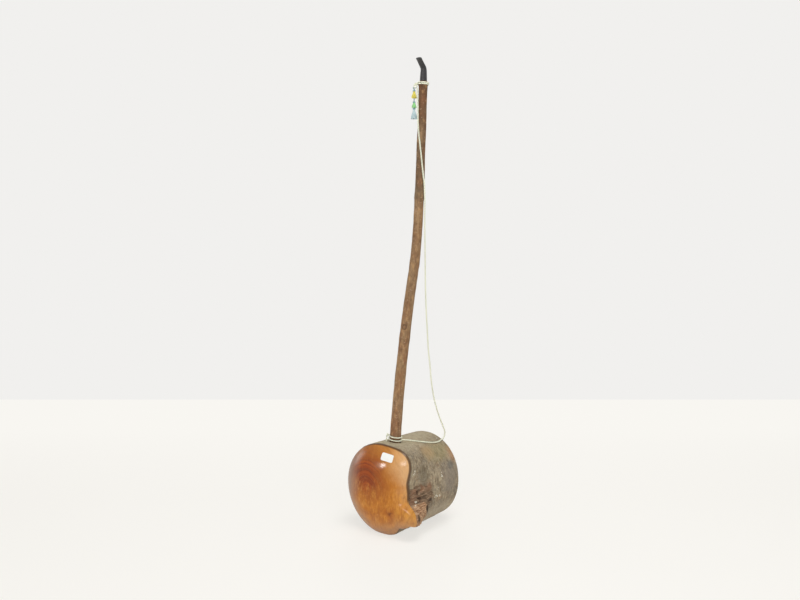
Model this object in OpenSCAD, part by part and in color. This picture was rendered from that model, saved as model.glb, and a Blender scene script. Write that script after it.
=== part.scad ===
// Long-stemmed log pipe: a bowl cut from a log with its bark left on and one
// end carved to a polished dome, a natural branch for a stem, a bent mouthpiece,
// and a cord with a tassel tied along the stem. All sizes are in millimetres.
// Z is up and Z = 0 is the flat that the bowl rests on. The log lies along Y,
// with its polished end towards -Y and the mouth of the bowl towards +Y.
// Y = 0 is the middle of the bark.

/* [Log] */
// Radius over the bark at the polished end
log_radius = 101; // [92:1:110]
// Radius over the bark at the mouth
mouth_radius = 96; // [88:1:106]
// Length of the log that the bark covers
bark_length = 164; // [145:1:200]
// Thickness of the bark
bark_thickness = 3.5; // [2:0.5:6]
// How far the polished end bulges out past the bark
dome_depth = 26; // [14:1:40]
// How far the bare rim stands out of the bark at the mouth
rim_length = 6; // [3:0.5:12]
// Width of the resting flat where it is cut into the wood
flat_width = 32; // [16:1:60]

/* [Tobacco chamber] */
// Bore of the chamber
chamber_d = 96; // [70:1:110]
// Depth of the chamber from the mouth
chamber_depth = 100; // [70:1:108]
// Draught holes in the bowl
bowl_draught_d = 8; // [5:0.5:12]

/* [Stem] */
// Distance of the stem's axis behind the front edge of the bark
stem_setback = 37; // [28:1:44]
// Lean of the stem's foot towards +X, in degrees
stem_lean = 4; // [0:0.5:8]
// How deep the stem's foot sits below the surface of the bark
seat_depth = 8; // [7:0.5:12]
// Length of the stem from its seat to its top
stem_length = 763; // [650:1:850]
// How far the stem's top sways towards +X
stem_sway = 73.5; // [50:0.5:90]
// Diameter of the stem at its foot
stem_base_d = 24.5; // [22:0.5:28]
// Diameter of the stem at its top
stem_top_d = 16.6; // [15:0.2:20]
// Draught through the stem
stem_draught_d = 6; // [4:0.5:7]
// Diameter of the tenon at the stem's foot
tenon_d = 18; // [14:0.5:19]
// Length of that tenon
tenon_length = 55; // [35:1:65]
// Wall of the cork on that tenon
stem_cork_wall = 1.5; // [1:0.1:1.8]

/* [Mouthpiece] */
// Diameter of the mouthpiece where it meets the stem
bit_d = 14.5; // [12:0.5:15.5]
// Straight length above the stem
bit_straight = 20; // [12:1:26]
// Radius of the bend, at the airway
bit_bend_radius = 12; // [10:1:24]
// Angle of the bend, in degrees
bit_bend = 45; // [20:1:60]
// Straight length after the bend
bit_tip = 21; // [15:1:30]
// Width of the lip
lip_width = 13.5; // [12:0.5:16]
// Thickness of the lip
lip_thickness = 5.2; // [4.4:0.2:7]
// Bore of the airway
airway_d = 3; // [2:0.25:3.5]
// Diameter of the mouthpiece's tenon
bit_tenon_d = 8; // [6:0.5:9]
// Length of that tenon
bit_tenon_length = 20; // [12:1:26]
// Wall of the cork on that tenon
bit_cork_wall = 1.2; // [0.8:0.1:1.6]

/* [Cord] */
// Diameter of the cord
cord_d = 2.4; // [1.8:0.1:2.8]
// Turns of cord round the top of the stem
top_turns = 2; // [1:1:3]
// Depth of the highest turn below the top of the stem
top_turn_drop = 0.5; // [0.5:0.5:8]
// Rise of the cord in one turn round the stem's foot
base_pitch = 7; // [6:0.5:10]
// Height of the first turn above the bark at the stem's foot
base_turn_rise = 4; // [3:0.5:8]
// Bearing of both knots round the stem, from +X, in degrees
knot_bearing = 218; // [205:1:230]

/* [Tassel] */
// Length of the tassel below its ring
tassel_length = 62; // [56:1:80]
// Thickness of the tassel's core thread
core_d = 2; // [1.6:0.1:2.6]
// Diameter of the yellow tuft at its hem
yellow_hem_d = 10.4; // [8:0.2:11]
// Diameter of the green tuft at its hem
green_hem_d = 9; // [8:0.2:11]
// Diameter of the blue tuft at its hem
blue_hem_d = 12.8; // [10:0.2:13]

/* [Sticker] */
// Width of the paper sticker
sticker_w = 30; // [15:1:34]
// Height of the paper sticker
sticker_h = 15; // [10:1:22]
// Place of its middle across the dome
sticker_x = 28; // [10:1:32]
// Height of its middle above the log's axis
sticker_up = 79; // [66:1:80]
// Turn of the sticker, in degrees
sticker_turn = -4; // [-45:1:45]

/* [Hidden] */
$fn = 64;

// Clearances: between layers of one body, in a sliding fit, and between bodies that stay clear
layer_gap = 0.15;
slide_gap = 0.05;
clear_gap = 0.3;
// Room round the stem's foot in the bark and the wood
foot_gap = 0.6;
// How far a cutter or a joined piece runs past the face it crosses
overrun = 1;

// Natural shape of the log: depth or height of each swell, and its reach along the log
corner_height = 9.8;
corner_reach = 34;
flank_depth = 27.6;
flank_reach = 60;
stub_height = 19.4;
stub_reach = 28;
stub_setback = 8;
tuck_depth = 8.5;
tuck_reach = 70;
far_side_depth = 5;
far_side_reach = 90;
mouth_side_depth = 9;
mouth_side_reach = 80;
// Swells and hollows: bearing from +Z towards +X in degrees, spread in degrees, squareness,
// place behind the front edge of the bark, reach along the log, height
swells = [
  [37, 18, 2, 0, corner_reach, corner_height],
  [87, 32, 4, 0, flank_reach, -flank_depth],
  [117, 11, 4, stub_setback, stub_reach, stub_height],
  [147, 8.5, 2, 0, tuck_reach, -tuck_depth],
  [262, 70, 2, 0, far_side_reach, -far_side_depth],
  [92, 50, 2, bark_length + rim_length, mouth_side_reach, -mouth_side_depth]
];
// How square the dome's shoulder is, and how far the bark stands proud of the dome
dome_power = 2.8;
bark_proud = 1;
// How far the bark's front edge is worn down, and how far the rim turns in
bark_wear = 1.2;
rim_turn_in = 4.5;
log_sides = 72;
dome_steps = [0.1, 0.35, 0.55, 0.7, 0.81, 0.89, 0.95, 0.985, 1];
bark_steps = [0, 0.03, 0.1, 0.2, 0.32, 0.46, 0.62, 0.8, 1];
rim_steps = [30, 60, 90];

// Bends of the branch: share of the stem's length, share of its sway along X, of its waver along Y
stem_waver = 2;
stem_bends = [
  [0, 0, 0], [0.2, 0.184, 1], [0.4, 0.517, -1], [0.55, 0.755, 0], [0.7, 0.85, 1], [0.85, 0.939, 0], [1, 1, 0]
];
// Nodes of the branch: share of the length, reach as a share of it, share of the swell
node_swell = 0.8;
stem_nodes = [[0.31, 0.012, 0.6], [0.52, 0.012, 0.75], [0.7, 0.012, 1], [1, 0.04, 1]];
// How much narrower the bent draught is than the straight one that it runs into
draught_step = 0.4;
stem_rings = 48;
stem_sides = 16;
draught_sides = 8;

// Button at the mouthpiece's lip: its length, its ridge, and the rounding of the base
button_length = 3.6;
button_ridge = 0.7;
base_round = 0.7;
button_steps = [0.2, 0.5, 0.8, 1];
// Waist of the mouthpiece: depth, and its place and reach as shares of the length
waist_depth = 1.2;
waist_place = 0.45;
waist_reach = 0.25;
// Where the taper to the lip starts, and how long it is, as shares of the length
taper_start = 0.3;
taper_share = 0.65;
bit_steps = 14;
bit_sides = 24;

// Rings in a turn and sides of the cord where it is wound, and sides where it hangs
turn_rings = 24;
wound_sides = 6;
run_sides = 8;
run_substeps = 2;
turn_gap = 0.3;
wrap_gap = 0.3;
// Bearing at which the hanging run reaches the foot of the stem, and the turns begun there
base_arrival = 20;
base_turns = 2;
// Loop radius of the knots, length of the cut ends and how far they splay
knot_loop_r = 2.6;
tail_length = 12;
tail_splay = 14;
// Eye under the top knot, how far it stands out of the knot, and the thread of the tassel's ring
eye_r = 3.2;
eye_stand_out = 0.4;
// Straight length at the bottom of the eye, which the tassel's ring turns on
eye_flat = 2;
ring_thread_d = 1.2;
binding_d = 1;
// Where each tuft starts below the ring, its length, and the neck they share
yellow_top = 4.2;
yellow_len = 16.5;
green_top = 26.6;
green_len = 12.9;
blue_top = 39.8;
neck_r = 2.2;
neck_length = 3;
tuft_steps = 5;

sticker_thickness = 0.3;
sticker_cells = 5;

// Route of the hanging cord, from the top knot to the turns at the stem's foot
cord_route = [
  [69, -54, 945], [70.5, -55.5, 940], [73, -55, 932], [73, -55, 922], [74, -55, 897], [75, -56, 869],
  [77, -56, 845], [79, -56, 831], [80, -55, 819], [81, -54, 807], [82, -51, 783], [83, -48, 759],
  [83, -45, 747], [83, -43, 713], [82, -42, 680], [82, -40, 605], [80, -36, 548], [79, -32, 492],
  [77, -25, 446], [74, -16, 396], [71, -6, 362], [68, 3, 328], [64, 18, 289], [57, 41, 254],
  [50, 63, 228], [43, 86, 203], [40, 95, 191], [40, 95, 184], [42, 87, 178], [45, 72, 177],
  [47, 56, 177], [45, 36, 180], [38, 15, 185], [30, -1, 189], [25, -19, 194], [20, -36, 198],
  [20, -39, 198]
];

// Log, worked out
front_y = -bark_length / 2;
back_y = bark_length / 2;
mouth_y = back_y + rim_length;
wood_depth = bark_thickness + layer_gap;
axis_z = sqrt(pow(log_radius - wood_depth, 2) - pow(flat_width / 2, 2));
floor_size = 3 * log_radius;

// Stem, worked out
stem_y = front_y + stem_setback;
stem_axis = [sin(stem_lean), 0, cos(stem_lean)];
seat_r = log_r(stem_lean, stem_y) - seat_depth;
seat = [0, stem_y, log_axis_z(stem_y)] + seat_r * stem_axis;
foot = seat + clear_gap * stem_axis;
stem_top = stem_point(1);
stem_end = bend_slope(len(stem_bends) - 1) / stem_length;
ring_step = stem_length / stem_rings;
top_lean = atan(stem_end.x);
mortise_r = tenon_d / 2 + layer_gap + stem_cork_wall + slide_gap;
mortise_depth = tenon_length + 2 * clear_gap;

// Mouthpiece, worked out
socket_r = bit_tenon_d / 2 + slide_gap + bit_cork_wall + slide_gap;
socket_depth = bit_tenon_length + overrun;
bend_length = bit_bend_radius * bit_bend * PI / 180;
bit_length = bit_straight + bend_length + bit_tip;

// Cord and tassel, worked out
cord_r = cord_d / 2;
top_wind_r = stem_radius(1) + wrap_gap + cord_r;
top_pitch = cord_d + turn_gap;
top_wind_z = -top_turn_drop - cord_r - top_turns * top_pitch;
base_wind_r = stem_radius(0) + wrap_gap + cord_r;
base_wind_z = seat_depth + base_turn_rise;
base_sweep = base_arrival - knot_bearing + 360 * base_turns;
base_knot_z = base_wind_z + base_pitch * base_sweep / 360;
knot_r = knot_loop_r + cord_r;
knot_offset = cord_r + knot_loop_r - wrap_gap;
top_knot = stem_top + tilted([
  (top_wind_r + knot_offset) * cos(knot_bearing),
  (top_wind_r + knot_offset) * sin(knot_bearing),
  top_wind_z + top_pitch / 2
], top_lean);
outward = [cos(knot_bearing), sin(knot_bearing), 0];
eye_drop = eye_r + cord_r;
hinge = top_knot + (knot_r + eye_stand_out) * outward - [0, 0, eye_drop + eye_r];
ring_r = cord_r + clear_gap + ring_thread_d / 2;
blue_len = tassel_length - blue_top;

// Small tools
function bell(q, square = 2) = exp(-pow(abs(q), square));
function total(v) = len(v) == 0 ? 0 : v * [for (item = v) 1];
function half_turn(d) = d - 360 * round(d / 360);
function unit(v) = v / norm(v);
function tilted(p, a) = [p.x * cos(a) + p.z * sin(a), p.y, p.z * cos(a) - p.x * sin(a)];
function joined(rings) = [for (ring = rings) each ring];

// Shape of the log
function base_r(y) = log_radius + (mouth_radius - log_radius) * (y - front_y) / (mouth_y - front_y);
function swell(a, y) = total([for (s = swells)
  s[5] * bell(half_turn(a - s[0]) / s[1], s[2]) * bell((y - front_y - s[3]) / s[4])]);
function log_r(a, y) = base_r(y) + swell(a, y);
function log_axis_z(y) = axis_z - log_radius + base_r(y);
function log_point(a, y, r) = [r * sin(a), y, log_axis_z(y) + r * cos(a)];
function log_ring(y, inset, place) = [for (i = [0:log_sides - 1])
  let (a = 360 * i / log_sides) log_point(a, place, log_r(a, y) - inset)];
function bark_y(share) = front_y + bark_length * share;

// Shape of the dome: a ring at a share of the radius, and its depth at a place on the log's end
function dome_bulge(share) = dome_depth * sqrt(max(0, 1 - pow(share, dome_power)));
function dome_ring(share) = [for (i = [0:log_sides - 1])
  let (a = 360 * i / log_sides, r = share * (log_r(a, front_y) - bark_proud))
  [r * sin(a), front_y - layer_gap - dome_bulge(share), axis_z + r * cos(a)]];
function dome_y(x, up) =
  let (a = atan2(x, up), share = norm([x, up]) / (log_r(a, front_y) - bark_proud))
  front_y - layer_gap - dome_bulge(share);

// Line and thickness of the stem
function bend_offset(bend) = [stem_sway * bend[1], stem_waver * bend[2]];
function bend_slope(i) =
  i == 0 ? [stem_length * tan(stem_lean), 0]
  : let (before = stem_bends[i - 1], after = stem_bends[min(i + 1, len(stem_bends) - 1)])
    (bend_offset(after) - bend_offset(before)) / (after[0] - before[0]);
function bend_at(share) = max([for (i = [0:len(stem_bends) - 2]) if (share >= stem_bends[i][0]) i]);
function sway(share) =
  let (
    i = bend_at(share), p = stem_bends[i], q = stem_bends[i + 1], span = q[0] - p[0],
    t = (share - p[0]) / span, from = bend_offset(p), to = bend_offset(q)
  )
  (1 + 2 * t) * pow(1 - t, 2) * from + t * pow(1 - t, 2) * span * bend_slope(i)
  + t * t * (3 - 2 * t) * to + t * t * (t - 1) * span * bend_slope(i + 1);
function stem_point(share) = let (s = sway(share)) foot + [s.x, s.y, stem_length * share];
function stem_radius(share) = (stem_base_d + (stem_top_d - stem_base_d) * share) / 2
  + node_swell * total([for (n = stem_nodes) n[2] * bell((share - n[0]) / n[1])]);

// Line of the mouthpiece above the stem, and its half width and half thickness
function bit_point(d) =
  let (turn = max(0, min(d - bit_straight, bend_length)) / bit_bend_radius * 180 / PI)
  [0, bit_bend_radius * (cos(turn) - 1), min(d, bit_straight) + bit_bend_radius * sin(turn)]
  + max(0, d - bit_straight - bend_length) * [0, -sin(turn), cos(turn)];
function ease(t) = t * t * (3 - 2 * t);
function bit_half_w(d) = let (t = d / bit_length)
  (bit_d + (lip_width - bit_d) * ease(t)) / 2 - (t == 0 ? base_round : 0)
  - waist_depth * bell((t - waist_place) / waist_reach);
function bit_half_t(d) = let (t = d / bit_length)
  (bit_d + (lip_thickness - bit_d) * ease(min(1, max(0, (t - taper_start) / taper_share)))) / 2
  - (t == 0 ? base_round : 0)
  + button_ridge * bell((d - bit_length + button_length / 2) / (button_length / 3));

// Wound cord: points of a helix that ends in a straight length of one diameter each way
function helix(r, z, pitch, from, to) =
  let (
    turns = abs(to - from) / 360,
    steps = ceil(turns * turn_rings),
    way = to > from ? 1 : -1,
    spots = [for (i = [0:steps]) let (q = i / steps, a = from + (to - from) * q)
      [r * cos(a), r * sin(a), z + pitch * turns * q]],
    lead = cord_d * way * [-sin(from), cos(from), 0],
    tail = cord_d * way * [-sin(to), cos(to), 0]
  )
  concat([spots[0] - lead], spots, [spots[steps] + tail]);
function least_gap(points) = min([for (i = [0:len(points) - 1])
  for (j = [i + floor(turn_rings / 2):1:len(points) - 1]) norm(points[i] - points[j]) - cord_d]);

// A smooth line through the points of a route
function route_point(p, i, t) =
  let (
    a = p[max(i - 1, 0)], b = p[i], c = p[i + 1], d = p[min(i + 2, len(p) - 1)]
  )
  b + t * (c - a) / 2 + t * t * (a - 2.5 * b + 2 * c - d / 2) + t * t * t * (1.5 * (b - c) + (d - a) / 2);
function smooth(p, steps) = concat(
  [for (i = [0:len(p) - 2]) for (j = [0:steps - 1]) route_point(p, i, j / steps)],
  [p[len(p) - 1]]
);

// Sweeping: the line's direction at a point, and a side vector carried along it without twist
function heading(p, i) = unit(p[min(i + 1, len(p) - 1)] - p[max(i - 1, 0)]);
function square_to(v, way) = unit(v - (v * way) * way);
function sides_along(p, first) = [
  for (i = 0, side = square_to(first, heading(p, 0)); i < len(p);
    i = i + 1, side = i < len(p) ? square_to(side, heading(p, i)) : side) side
];
function swept_rings(p, half_w, half_t, count, first) =
  let (side = sides_along(p, first))
  [for (i = [0:len(p) - 1]) let (other = cross(heading(p, i), side[i]))
    [for (k = [0:count - 1]) let (a = 360 * k / count)
      p[i] + half_w[i] * cos(a) * side[i] + half_t[i] * sin(a) * other]];

// A closed skin over rings of points; the rings turn clockwise seen along their line. From
// the band crossed_from on, each cell is split along its other diagonal.
module skin(rings, round_again = false, crossed_from = undef) {
  n = len(rings[0]);
  m = len(rings);
  bands = round_again ? m : m - 1;
  walls = [for (i = [0:bands - 1]) for (k = [0:n - 1])
    let (
      beside = (k + 1) % n, next = (i + 1) % m,
      a = i * n + k, b = i * n + beside, c = next * n + beside, d = next * n + k
    )
    each is_undef(crossed_from) || i < crossed_from ? [[a, c, b], [a, d, c]] : [[a, d, b], [b, d, c]]];
  caps = round_again ? [] : concat(
    [for (k = [1:n - 2]) [0, k, k + 1]],
    [for (k = [1:n - 2]) [(m - 1) * n, (m - 1) * n + k + 1, (m - 1) * n + k]]
  );
  polyhedron(points = joined(rings), faces = concat(walls, caps), convexity = 6);
}

module tube(points, r, count, first) {
  half = [for (p = points) r];
  skin(swept_rings(points, half, half, count, first));
}

module loop_of_cord(r, thick) {
  rotate_extrude() translate([r, 0]) circle(d = thick);
}

module at_seat() {
  translate(seat) rotate([0, stem_lean, 0]) children();
}

module at_stem_top() {
  translate(stem_top) rotate([0, top_lean, 0]) children();
}

module at_hinge() {
  translate(hinge) rotate([0, 0, knot_bearing]) children();
}

module below_floor() {
  translate([-floor_size / 2, -floor_size / 2, -floor_size]) cube(floor_size);
}

module sleeve(outer_r, inner_r, length) {
  difference() {
    cylinder(r = outer_r, h = length);
    translate([0, 0, -overrun]) cylinder(r = inner_r, h = length + 2 * overrun);
  }
}

// The wood of the log: dome, shoulder that the bark butts against, side under the bark, rim
module log_wood() {
  shoulder = log_ring(front_y, wood_depth, front_y - layer_gap);
  under_bark = [for (s = bark_steps) log_ring(bark_y(s), wood_depth, bark_y(s))];
  rim = [for (a = rim_steps)
    log_ring(back_y, wood_depth + rim_turn_in * (1 - cos(a)), back_y + rim_length * sin(a))];
  skin(concat([for (s = dome_steps) dome_ring(s)], [shoulder], under_bark, rim));
}

module bowl_block() {
  chamber_z = log_axis_z(mouth_y);
  riser = seat_r - mortise_depth - (chamber_z - log_axis_z(stem_y));
  color("peru") difference() {
    log_wood();
    below_floor();
    translate([0, mouth_y - chamber_depth, chamber_z]) rotate([-90, 0, 0])
      cylinder(d = chamber_d, h = chamber_depth + overrun);
    at_seat() {
      cylinder(r = stem_base_d / 2 + foot_gap, h = seat_depth + 2 * overrun);
      translate([0, 0, -mortise_depth]) cylinder(r = mortise_r, h = mortise_depth + overrun);
      translate([0, 0, -mortise_depth - riser]) cylinder(d = bowl_draught_d, h = riser + overrun);
    }
    translate([0, stem_y, chamber_z]) rotate([-90, 0, 0])
      cylinder(d = bowl_draught_d, h = mouth_y - chamber_depth - stem_y + overrun);
  }
}

// The bark: its inside runs back to the front, so its cells are crossed to match the wood's
module bark_jacket() {
  outside = [for (s = bark_steps) log_ring(bark_y(s), s == 0 ? bark_wear : 0, bark_y(s))];
  inside = [for (i = [len(bark_steps) - 1:-1:0])
    log_ring(bark_y(bark_steps[i]), bark_thickness, bark_y(bark_steps[i]))];
  color("darkolivegreen") difference() {
    skin(concat(outside, inside), round_again = true, crossed_from = len(outside));
    below_floor();
    at_seat() cylinder(r = stem_base_d / 2 + foot_gap, h = seat_depth + tenon_length);
  }
}

module paper_sticker() {
  spots = [for (j = [0:sticker_cells]) for (i = [0:sticker_cells])
    let (
      across = sticker_w * (i / sticker_cells - 0.5), along = sticker_h * (j / sticker_cells - 0.5),
      x = sticker_x + across * cos(sticker_turn) - along * sin(sticker_turn),
      up = sticker_up + across * sin(sticker_turn) + along * cos(sticker_turn)
    )
    [x, dome_y(x, up), axis_z + up]];
  n = sticker_cells + 1;
  lower = [for (p = spots) p - [0, layer_gap, 0]];
  upper = [for (p = spots) p - [0, layer_gap + sticker_thickness, 0]];
  cells = [for (j = [0:n - 2]) for (i = [0:n - 2]) let (a = j * n + i)
    each [[a, a + 1, a + n + 1], [a, a + n + 1, a + n]]];
  edge = concat(
    [for (i = [0:n - 2]) i], [for (j = [0:n - 2]) j * n + n - 1],
    [for (i = [n - 1:-1:1]) n * (n - 1) + i], [for (j = [n - 1:-1:1]) j * n]
  );
  front = [for (f = cells) [for (k = f) k + n * n]];
  hem = [for (k = [0:len(edge) - 1]) let (a = edge[k], b = edge[(k + 1) % len(edge)])
    each [[a, b + n * n, b], [a, a + n * n, b + n * n]]];
  color("white") polyhedron(
    points = concat(lower, upper),
    faces = concat([for (f = cells) f], [for (f = front) [f[2], f[1], f[0]]], hem)
  );
}

module stem_branch() {
  shares = [for (i = [0:stem_rings]) i / stem_rings];
  line = [for (s = shares) stem_point(s)];
  girth = [for (s = shares) stem_radius(s)];
  hollow = [for (i = [1:stem_rings - 1]) stem_point(i / stem_rings)];
  hollow_r = (stem_draught_d - draught_step) / 2;
  color("saddlebrown") difference() {
    union() {
      skin(swept_rings(line, girth, girth, stem_sides, [0, 1, 0]));
      at_seat() translate([0, 0, clear_gap - tenon_length])
        cylinder(d = tenon_d, h = tenon_length + overrun);
    }
    tube(hollow, hollow_r, draught_sides, [0, 1, 0]);
    at_seat() translate([0, 0, -tenon_length - overrun])
      cylinder(d = stem_draught_d, h = tenon_length + 2 * overrun + ring_step);
    at_stem_top() translate([0, 0, -socket_depth]) cylinder(r = socket_r, h = socket_depth + overrun);
  }
}

module stem_cork() {
  inner = tenon_d / 2 + layer_gap;
  color("burlywood") at_seat() translate([0, 0, clear_gap - tenon_length])
    sleeve(inner + stem_cork_wall, inner, tenon_length - 2 * clear_gap);
}

module bit_cork() {
  inner = bit_tenon_d / 2 + slide_gap;
  color("burlywood") at_stem_top() translate([0, 0, -bit_tenon_length])
    sleeve(inner + bit_cork_wall, inner, bit_tenon_length - clear_gap);
}

module mouthpiece() {
  body = bit_length - button_length;
  stations = concat([0, base_round], [for (i = [1:bit_steps]) body * i / bit_steps],
    [for (q = button_steps) body + button_length * q]);
  line = [for (d = stations) bit_point(d)];
  wide = [for (d = stations) bit_half_w(d)];
  thick = [for (d = stations) bit_half_t(d)];
  color("dimgray") at_stem_top() translate([0, 0, clear_gap]) difference() {
    union() {
      skin(swept_rings(line, wide, thick, bit_sides, [1, 0, 0]));
      translate([0, 0, -bit_tenon_length]) cylinder(d = bit_tenon_d, h = bit_tenon_length + overrun);
    }
    translate([0, 0, -bit_tenon_length - overrun])
      cylinder(d = airway_d, h = bit_tenon_length + overrun + bit_straight);
    translate([0, -bit_bend_radius, bit_straight]) rotate([90, 0, 90]) {
      rotate_extrude(angle = bit_bend) translate([bit_bend_radius, 0]) circle(d = airway_d);
      rotate([0, 0, bit_bend]) translate([bit_bend_radius, 0, 0]) rotate([-90, 0, 0])
        cylinder(d = airway_d, h = bit_tip + overrun);
    }
  }
}

module cord_top_winding() {
  turns = helix(top_wind_r, top_wind_z, top_pitch, knot_bearing, knot_bearing - 360 * top_turns);
  echo(str("cord_top_winding, least gap to itself: ", least_gap(turns)));
  color("beige") at_stem_top() tube(turns, cord_r, wound_sides, [0, 0, 1]);
}

// A knot: two crossing loops of cord
module knot() {
  loop_of_cord(knot_loop_r, cord_d);
  rotate([90, 0, 0]) loop_of_cord(knot_loop_r, cord_d);
}

module cord_top_knot() {
  color("beige") {
    translate(top_knot) rotate([0, 0, knot_bearing]) knot();
    at_hinge() {
      translate([0, 0, eye_r]) rotate([0, 90, 0]) loop_of_cord(eye_r, cord_d);
      rotate([90, 0, 0]) cylinder(r = cord_r + slide_gap, h = eye_flat, center = true);
    }
  }
}

module cord_hanging_run() {
  color("beige") tube(smooth(cord_route, run_substeps), cord_r, run_sides, [0, 0, 1]);
}

module cord_base_winding() {
  turns = helix(base_wind_r, base_wind_z, base_pitch, base_arrival, base_arrival - base_sweep);
  echo(str("cord_base_winding, least gap to itself: ", least_gap(turns)));
  color("beige") at_seat() tube(turns, cord_r, wound_sides, [0, 0, 1]);
}

module at_base_knot() {
  at_seat() rotate([0, 0, knot_bearing]) translate([base_wind_r + knot_offset, 0, base_knot_z]) children();
}

module cord_base_knot() {
  color("beige") at_base_knot() knot();
}

module cord_tails() {
  color("beige") at_base_knot() for (side = [-1, 1])
    rotate([side * tail_splay, 0, 0])
      translate([cord_r, side * knot_loop_r / 2, -knot_loop_r - tail_length])
        cylinder(d = cord_d, h = tail_length);
}

module tassel_thread() {
  color("teal") at_hinge() {
    rotate([90, 0, 0]) loop_of_cord(ring_r, ring_thread_d);
    translate([0, 0, -tassel_length + overrun]) cylinder(d = core_d, h = tassel_length - overrun - ring_r);
  }
}

// A tuft of yarn round the core thread: a straight neck that flares to the hem
module tuft(top, length, hem_d) {
  bore = core_d / 2 + slide_gap;
  flare = length - neck_length;
  side = [for (i = [0:tuft_steps]) let (q = i / tuft_steps)
    [neck_r + (hem_d / 2 - neck_r) * ease(q), -neck_length - flare * q]];
  at_hinge() translate([0, 0, -top]) rotate_extrude()
    polygon(concat([[bore, 0], [neck_r, 0]], side, [[bore, -length]]));
}

module tassel_yellow_tuft() {
  color("gold") tuft(yellow_top, yellow_len, yellow_hem_d);
}

module tassel_green_tuft() {
  color("limegreen") tuft(green_top, green_len, green_hem_d);
}

module tassel_blue_tuft() {
  color("lightsteelblue") tuft(blue_top, blue_len, blue_hem_d);
}

module tassel_bindings() {
  color("darkcyan") at_hinge() for (top = [yellow_top, green_top, blue_top])
    translate([0, 0, -top - neck_length / 2]) loop_of_cord(neck_r + slide_gap + binding_d / 2, binding_d);
}

bowl_block();
bark_jacket();
paper_sticker();
stem_branch();
stem_cork();
bit_cork();
mouthpiece();
cord_top_winding();
cord_top_knot();
cord_hanging_run();
cord_base_winding();
cord_base_knot();
cord_tails();
tassel_thread();
tassel_yellow_tuft();
tassel_green_tuft();
tassel_blue_tuft();
tassel_bindings();
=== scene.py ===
"""Looks of the long-stemmed log pipe.

A varnished log bowl with its bark, a branch for a stem, a bent mouthpiece, and a cord with a
tassel. Lengths are in metres and bearings in degrees. Z is up, and the log lies along Y with its
polished end towards -Y. The forms repeat the named values of the part's source.
"""

import logging
import math
from dataclasses import dataclass, field
from enum import Enum
from functools import reduce

import bmesh
import bpy
import numpy as np
from bpy.types import Material, Mesh, Node, NodeSocket, NodeTree, Object
from mathutils import Matrix, Vector, noise

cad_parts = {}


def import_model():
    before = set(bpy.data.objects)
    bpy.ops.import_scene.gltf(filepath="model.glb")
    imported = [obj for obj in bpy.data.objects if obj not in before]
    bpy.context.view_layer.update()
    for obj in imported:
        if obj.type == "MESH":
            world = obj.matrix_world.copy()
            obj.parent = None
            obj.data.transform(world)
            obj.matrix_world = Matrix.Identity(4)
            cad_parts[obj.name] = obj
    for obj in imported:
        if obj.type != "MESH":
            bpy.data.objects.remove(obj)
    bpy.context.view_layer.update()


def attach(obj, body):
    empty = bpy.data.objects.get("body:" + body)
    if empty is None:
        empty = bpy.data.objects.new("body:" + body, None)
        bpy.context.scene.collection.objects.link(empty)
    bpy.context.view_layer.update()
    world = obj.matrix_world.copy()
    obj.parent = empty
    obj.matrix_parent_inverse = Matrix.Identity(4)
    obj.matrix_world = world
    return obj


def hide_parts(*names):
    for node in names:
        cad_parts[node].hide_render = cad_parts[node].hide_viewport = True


LOG = logging.getLogger("log_pipe")

# Gaps of the part's source: between layers, between sliding faces, and where a piece sits down.
LAYER_GAP = 0.00015
SLIDE_GAP = 0.00005
CLEAR_GAP = 0.0003

# Edges sharper than these angles stay sharp: on most pieces, on twine, and on what node trees grow.
CREASE = 50
TWINE_CREASE = 80
FINE_CREASE = 60

# Size of a rope's strands and their distance from its middle, in parts of its radius.
STRAND_SIZE = 0.60
STRAND_OFFSET = 0.52

Array = np.ndarray
Colour = tuple[int, int, int]
Point = tuple[float, float, float]

# Where a value begins and ends, and the two ends that it is spread to if they aren't 0 and 1.
Span = tuple[float, ...]

# Places from 0 to 1 and the colours there.
Stops = tuple[tuple[float, Colour], ...]


class Body(Enum):
    """Bodies of the part that pieces ride on."""

    BOWL = "bowl"
    STEM = "stem"
    MOUTHPIECE = "mouthpiece"
    TASSEL = "tassel"


class Slot(Enum):
    """Material slots of the pieces."""

    POLISHED_WOOD = "polished_wood"
    LOG_BARK = "log_bark"
    STICKER_PAPER = "sticker_paper"
    BRANCH_BARK = "branch_bark"
    BLACK_BIT = "black_bit"
    CORD_TWINE = "cord_twine"
    TEAL_YARN = "teal_yarn"
    YELLOW_YARN = "yellow_yarn"
    GREEN_YARN = "green_yarn"
    BLUE_YARN = "blue_yarn"


def linear(colour: Colour) -> tuple[float, float, float, float]:
    """Turn a colour as a screen shows it into a scene-linear one.

    Args:
        colour: Red, green and blue from 0 to 255.

    Returns:
        Linear red, green and blue, and an alpha of 1.
    """
    parts = [c / 255 for c in colour]
    spread = [p / 12.92 if p <= 0.04045 else ((p + 0.055) / 1.055) ** 2.4 for p in parts]
    return (spread[0], spread[1], spread[2], 1.0)


def bell(q: Array, squareness: float = 2) -> Array:
    """Return a bell curve that is 1 at 0, and flatter on top the squarer it is."""
    return np.exp(-np.power(np.abs(q), squareness))


def ease(t: Array) -> Array:
    """Return a soft step from 0 to 1 over the range 0 to 1."""
    t = np.clip(t, 0, 1)
    return t * t * (3 - 2 * t)


def half_turn(degrees: Array) -> Array:
    """Bring an angle into the range of half a turn either way."""
    return degrees - 360 * np.round(np.asarray(degrees) / 360)


def unit(v: Array) -> Array:
    """Return vectors at length 1, along the last axis."""
    return v / np.linalg.norm(v, axis=-1, keepdims=True)


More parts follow.
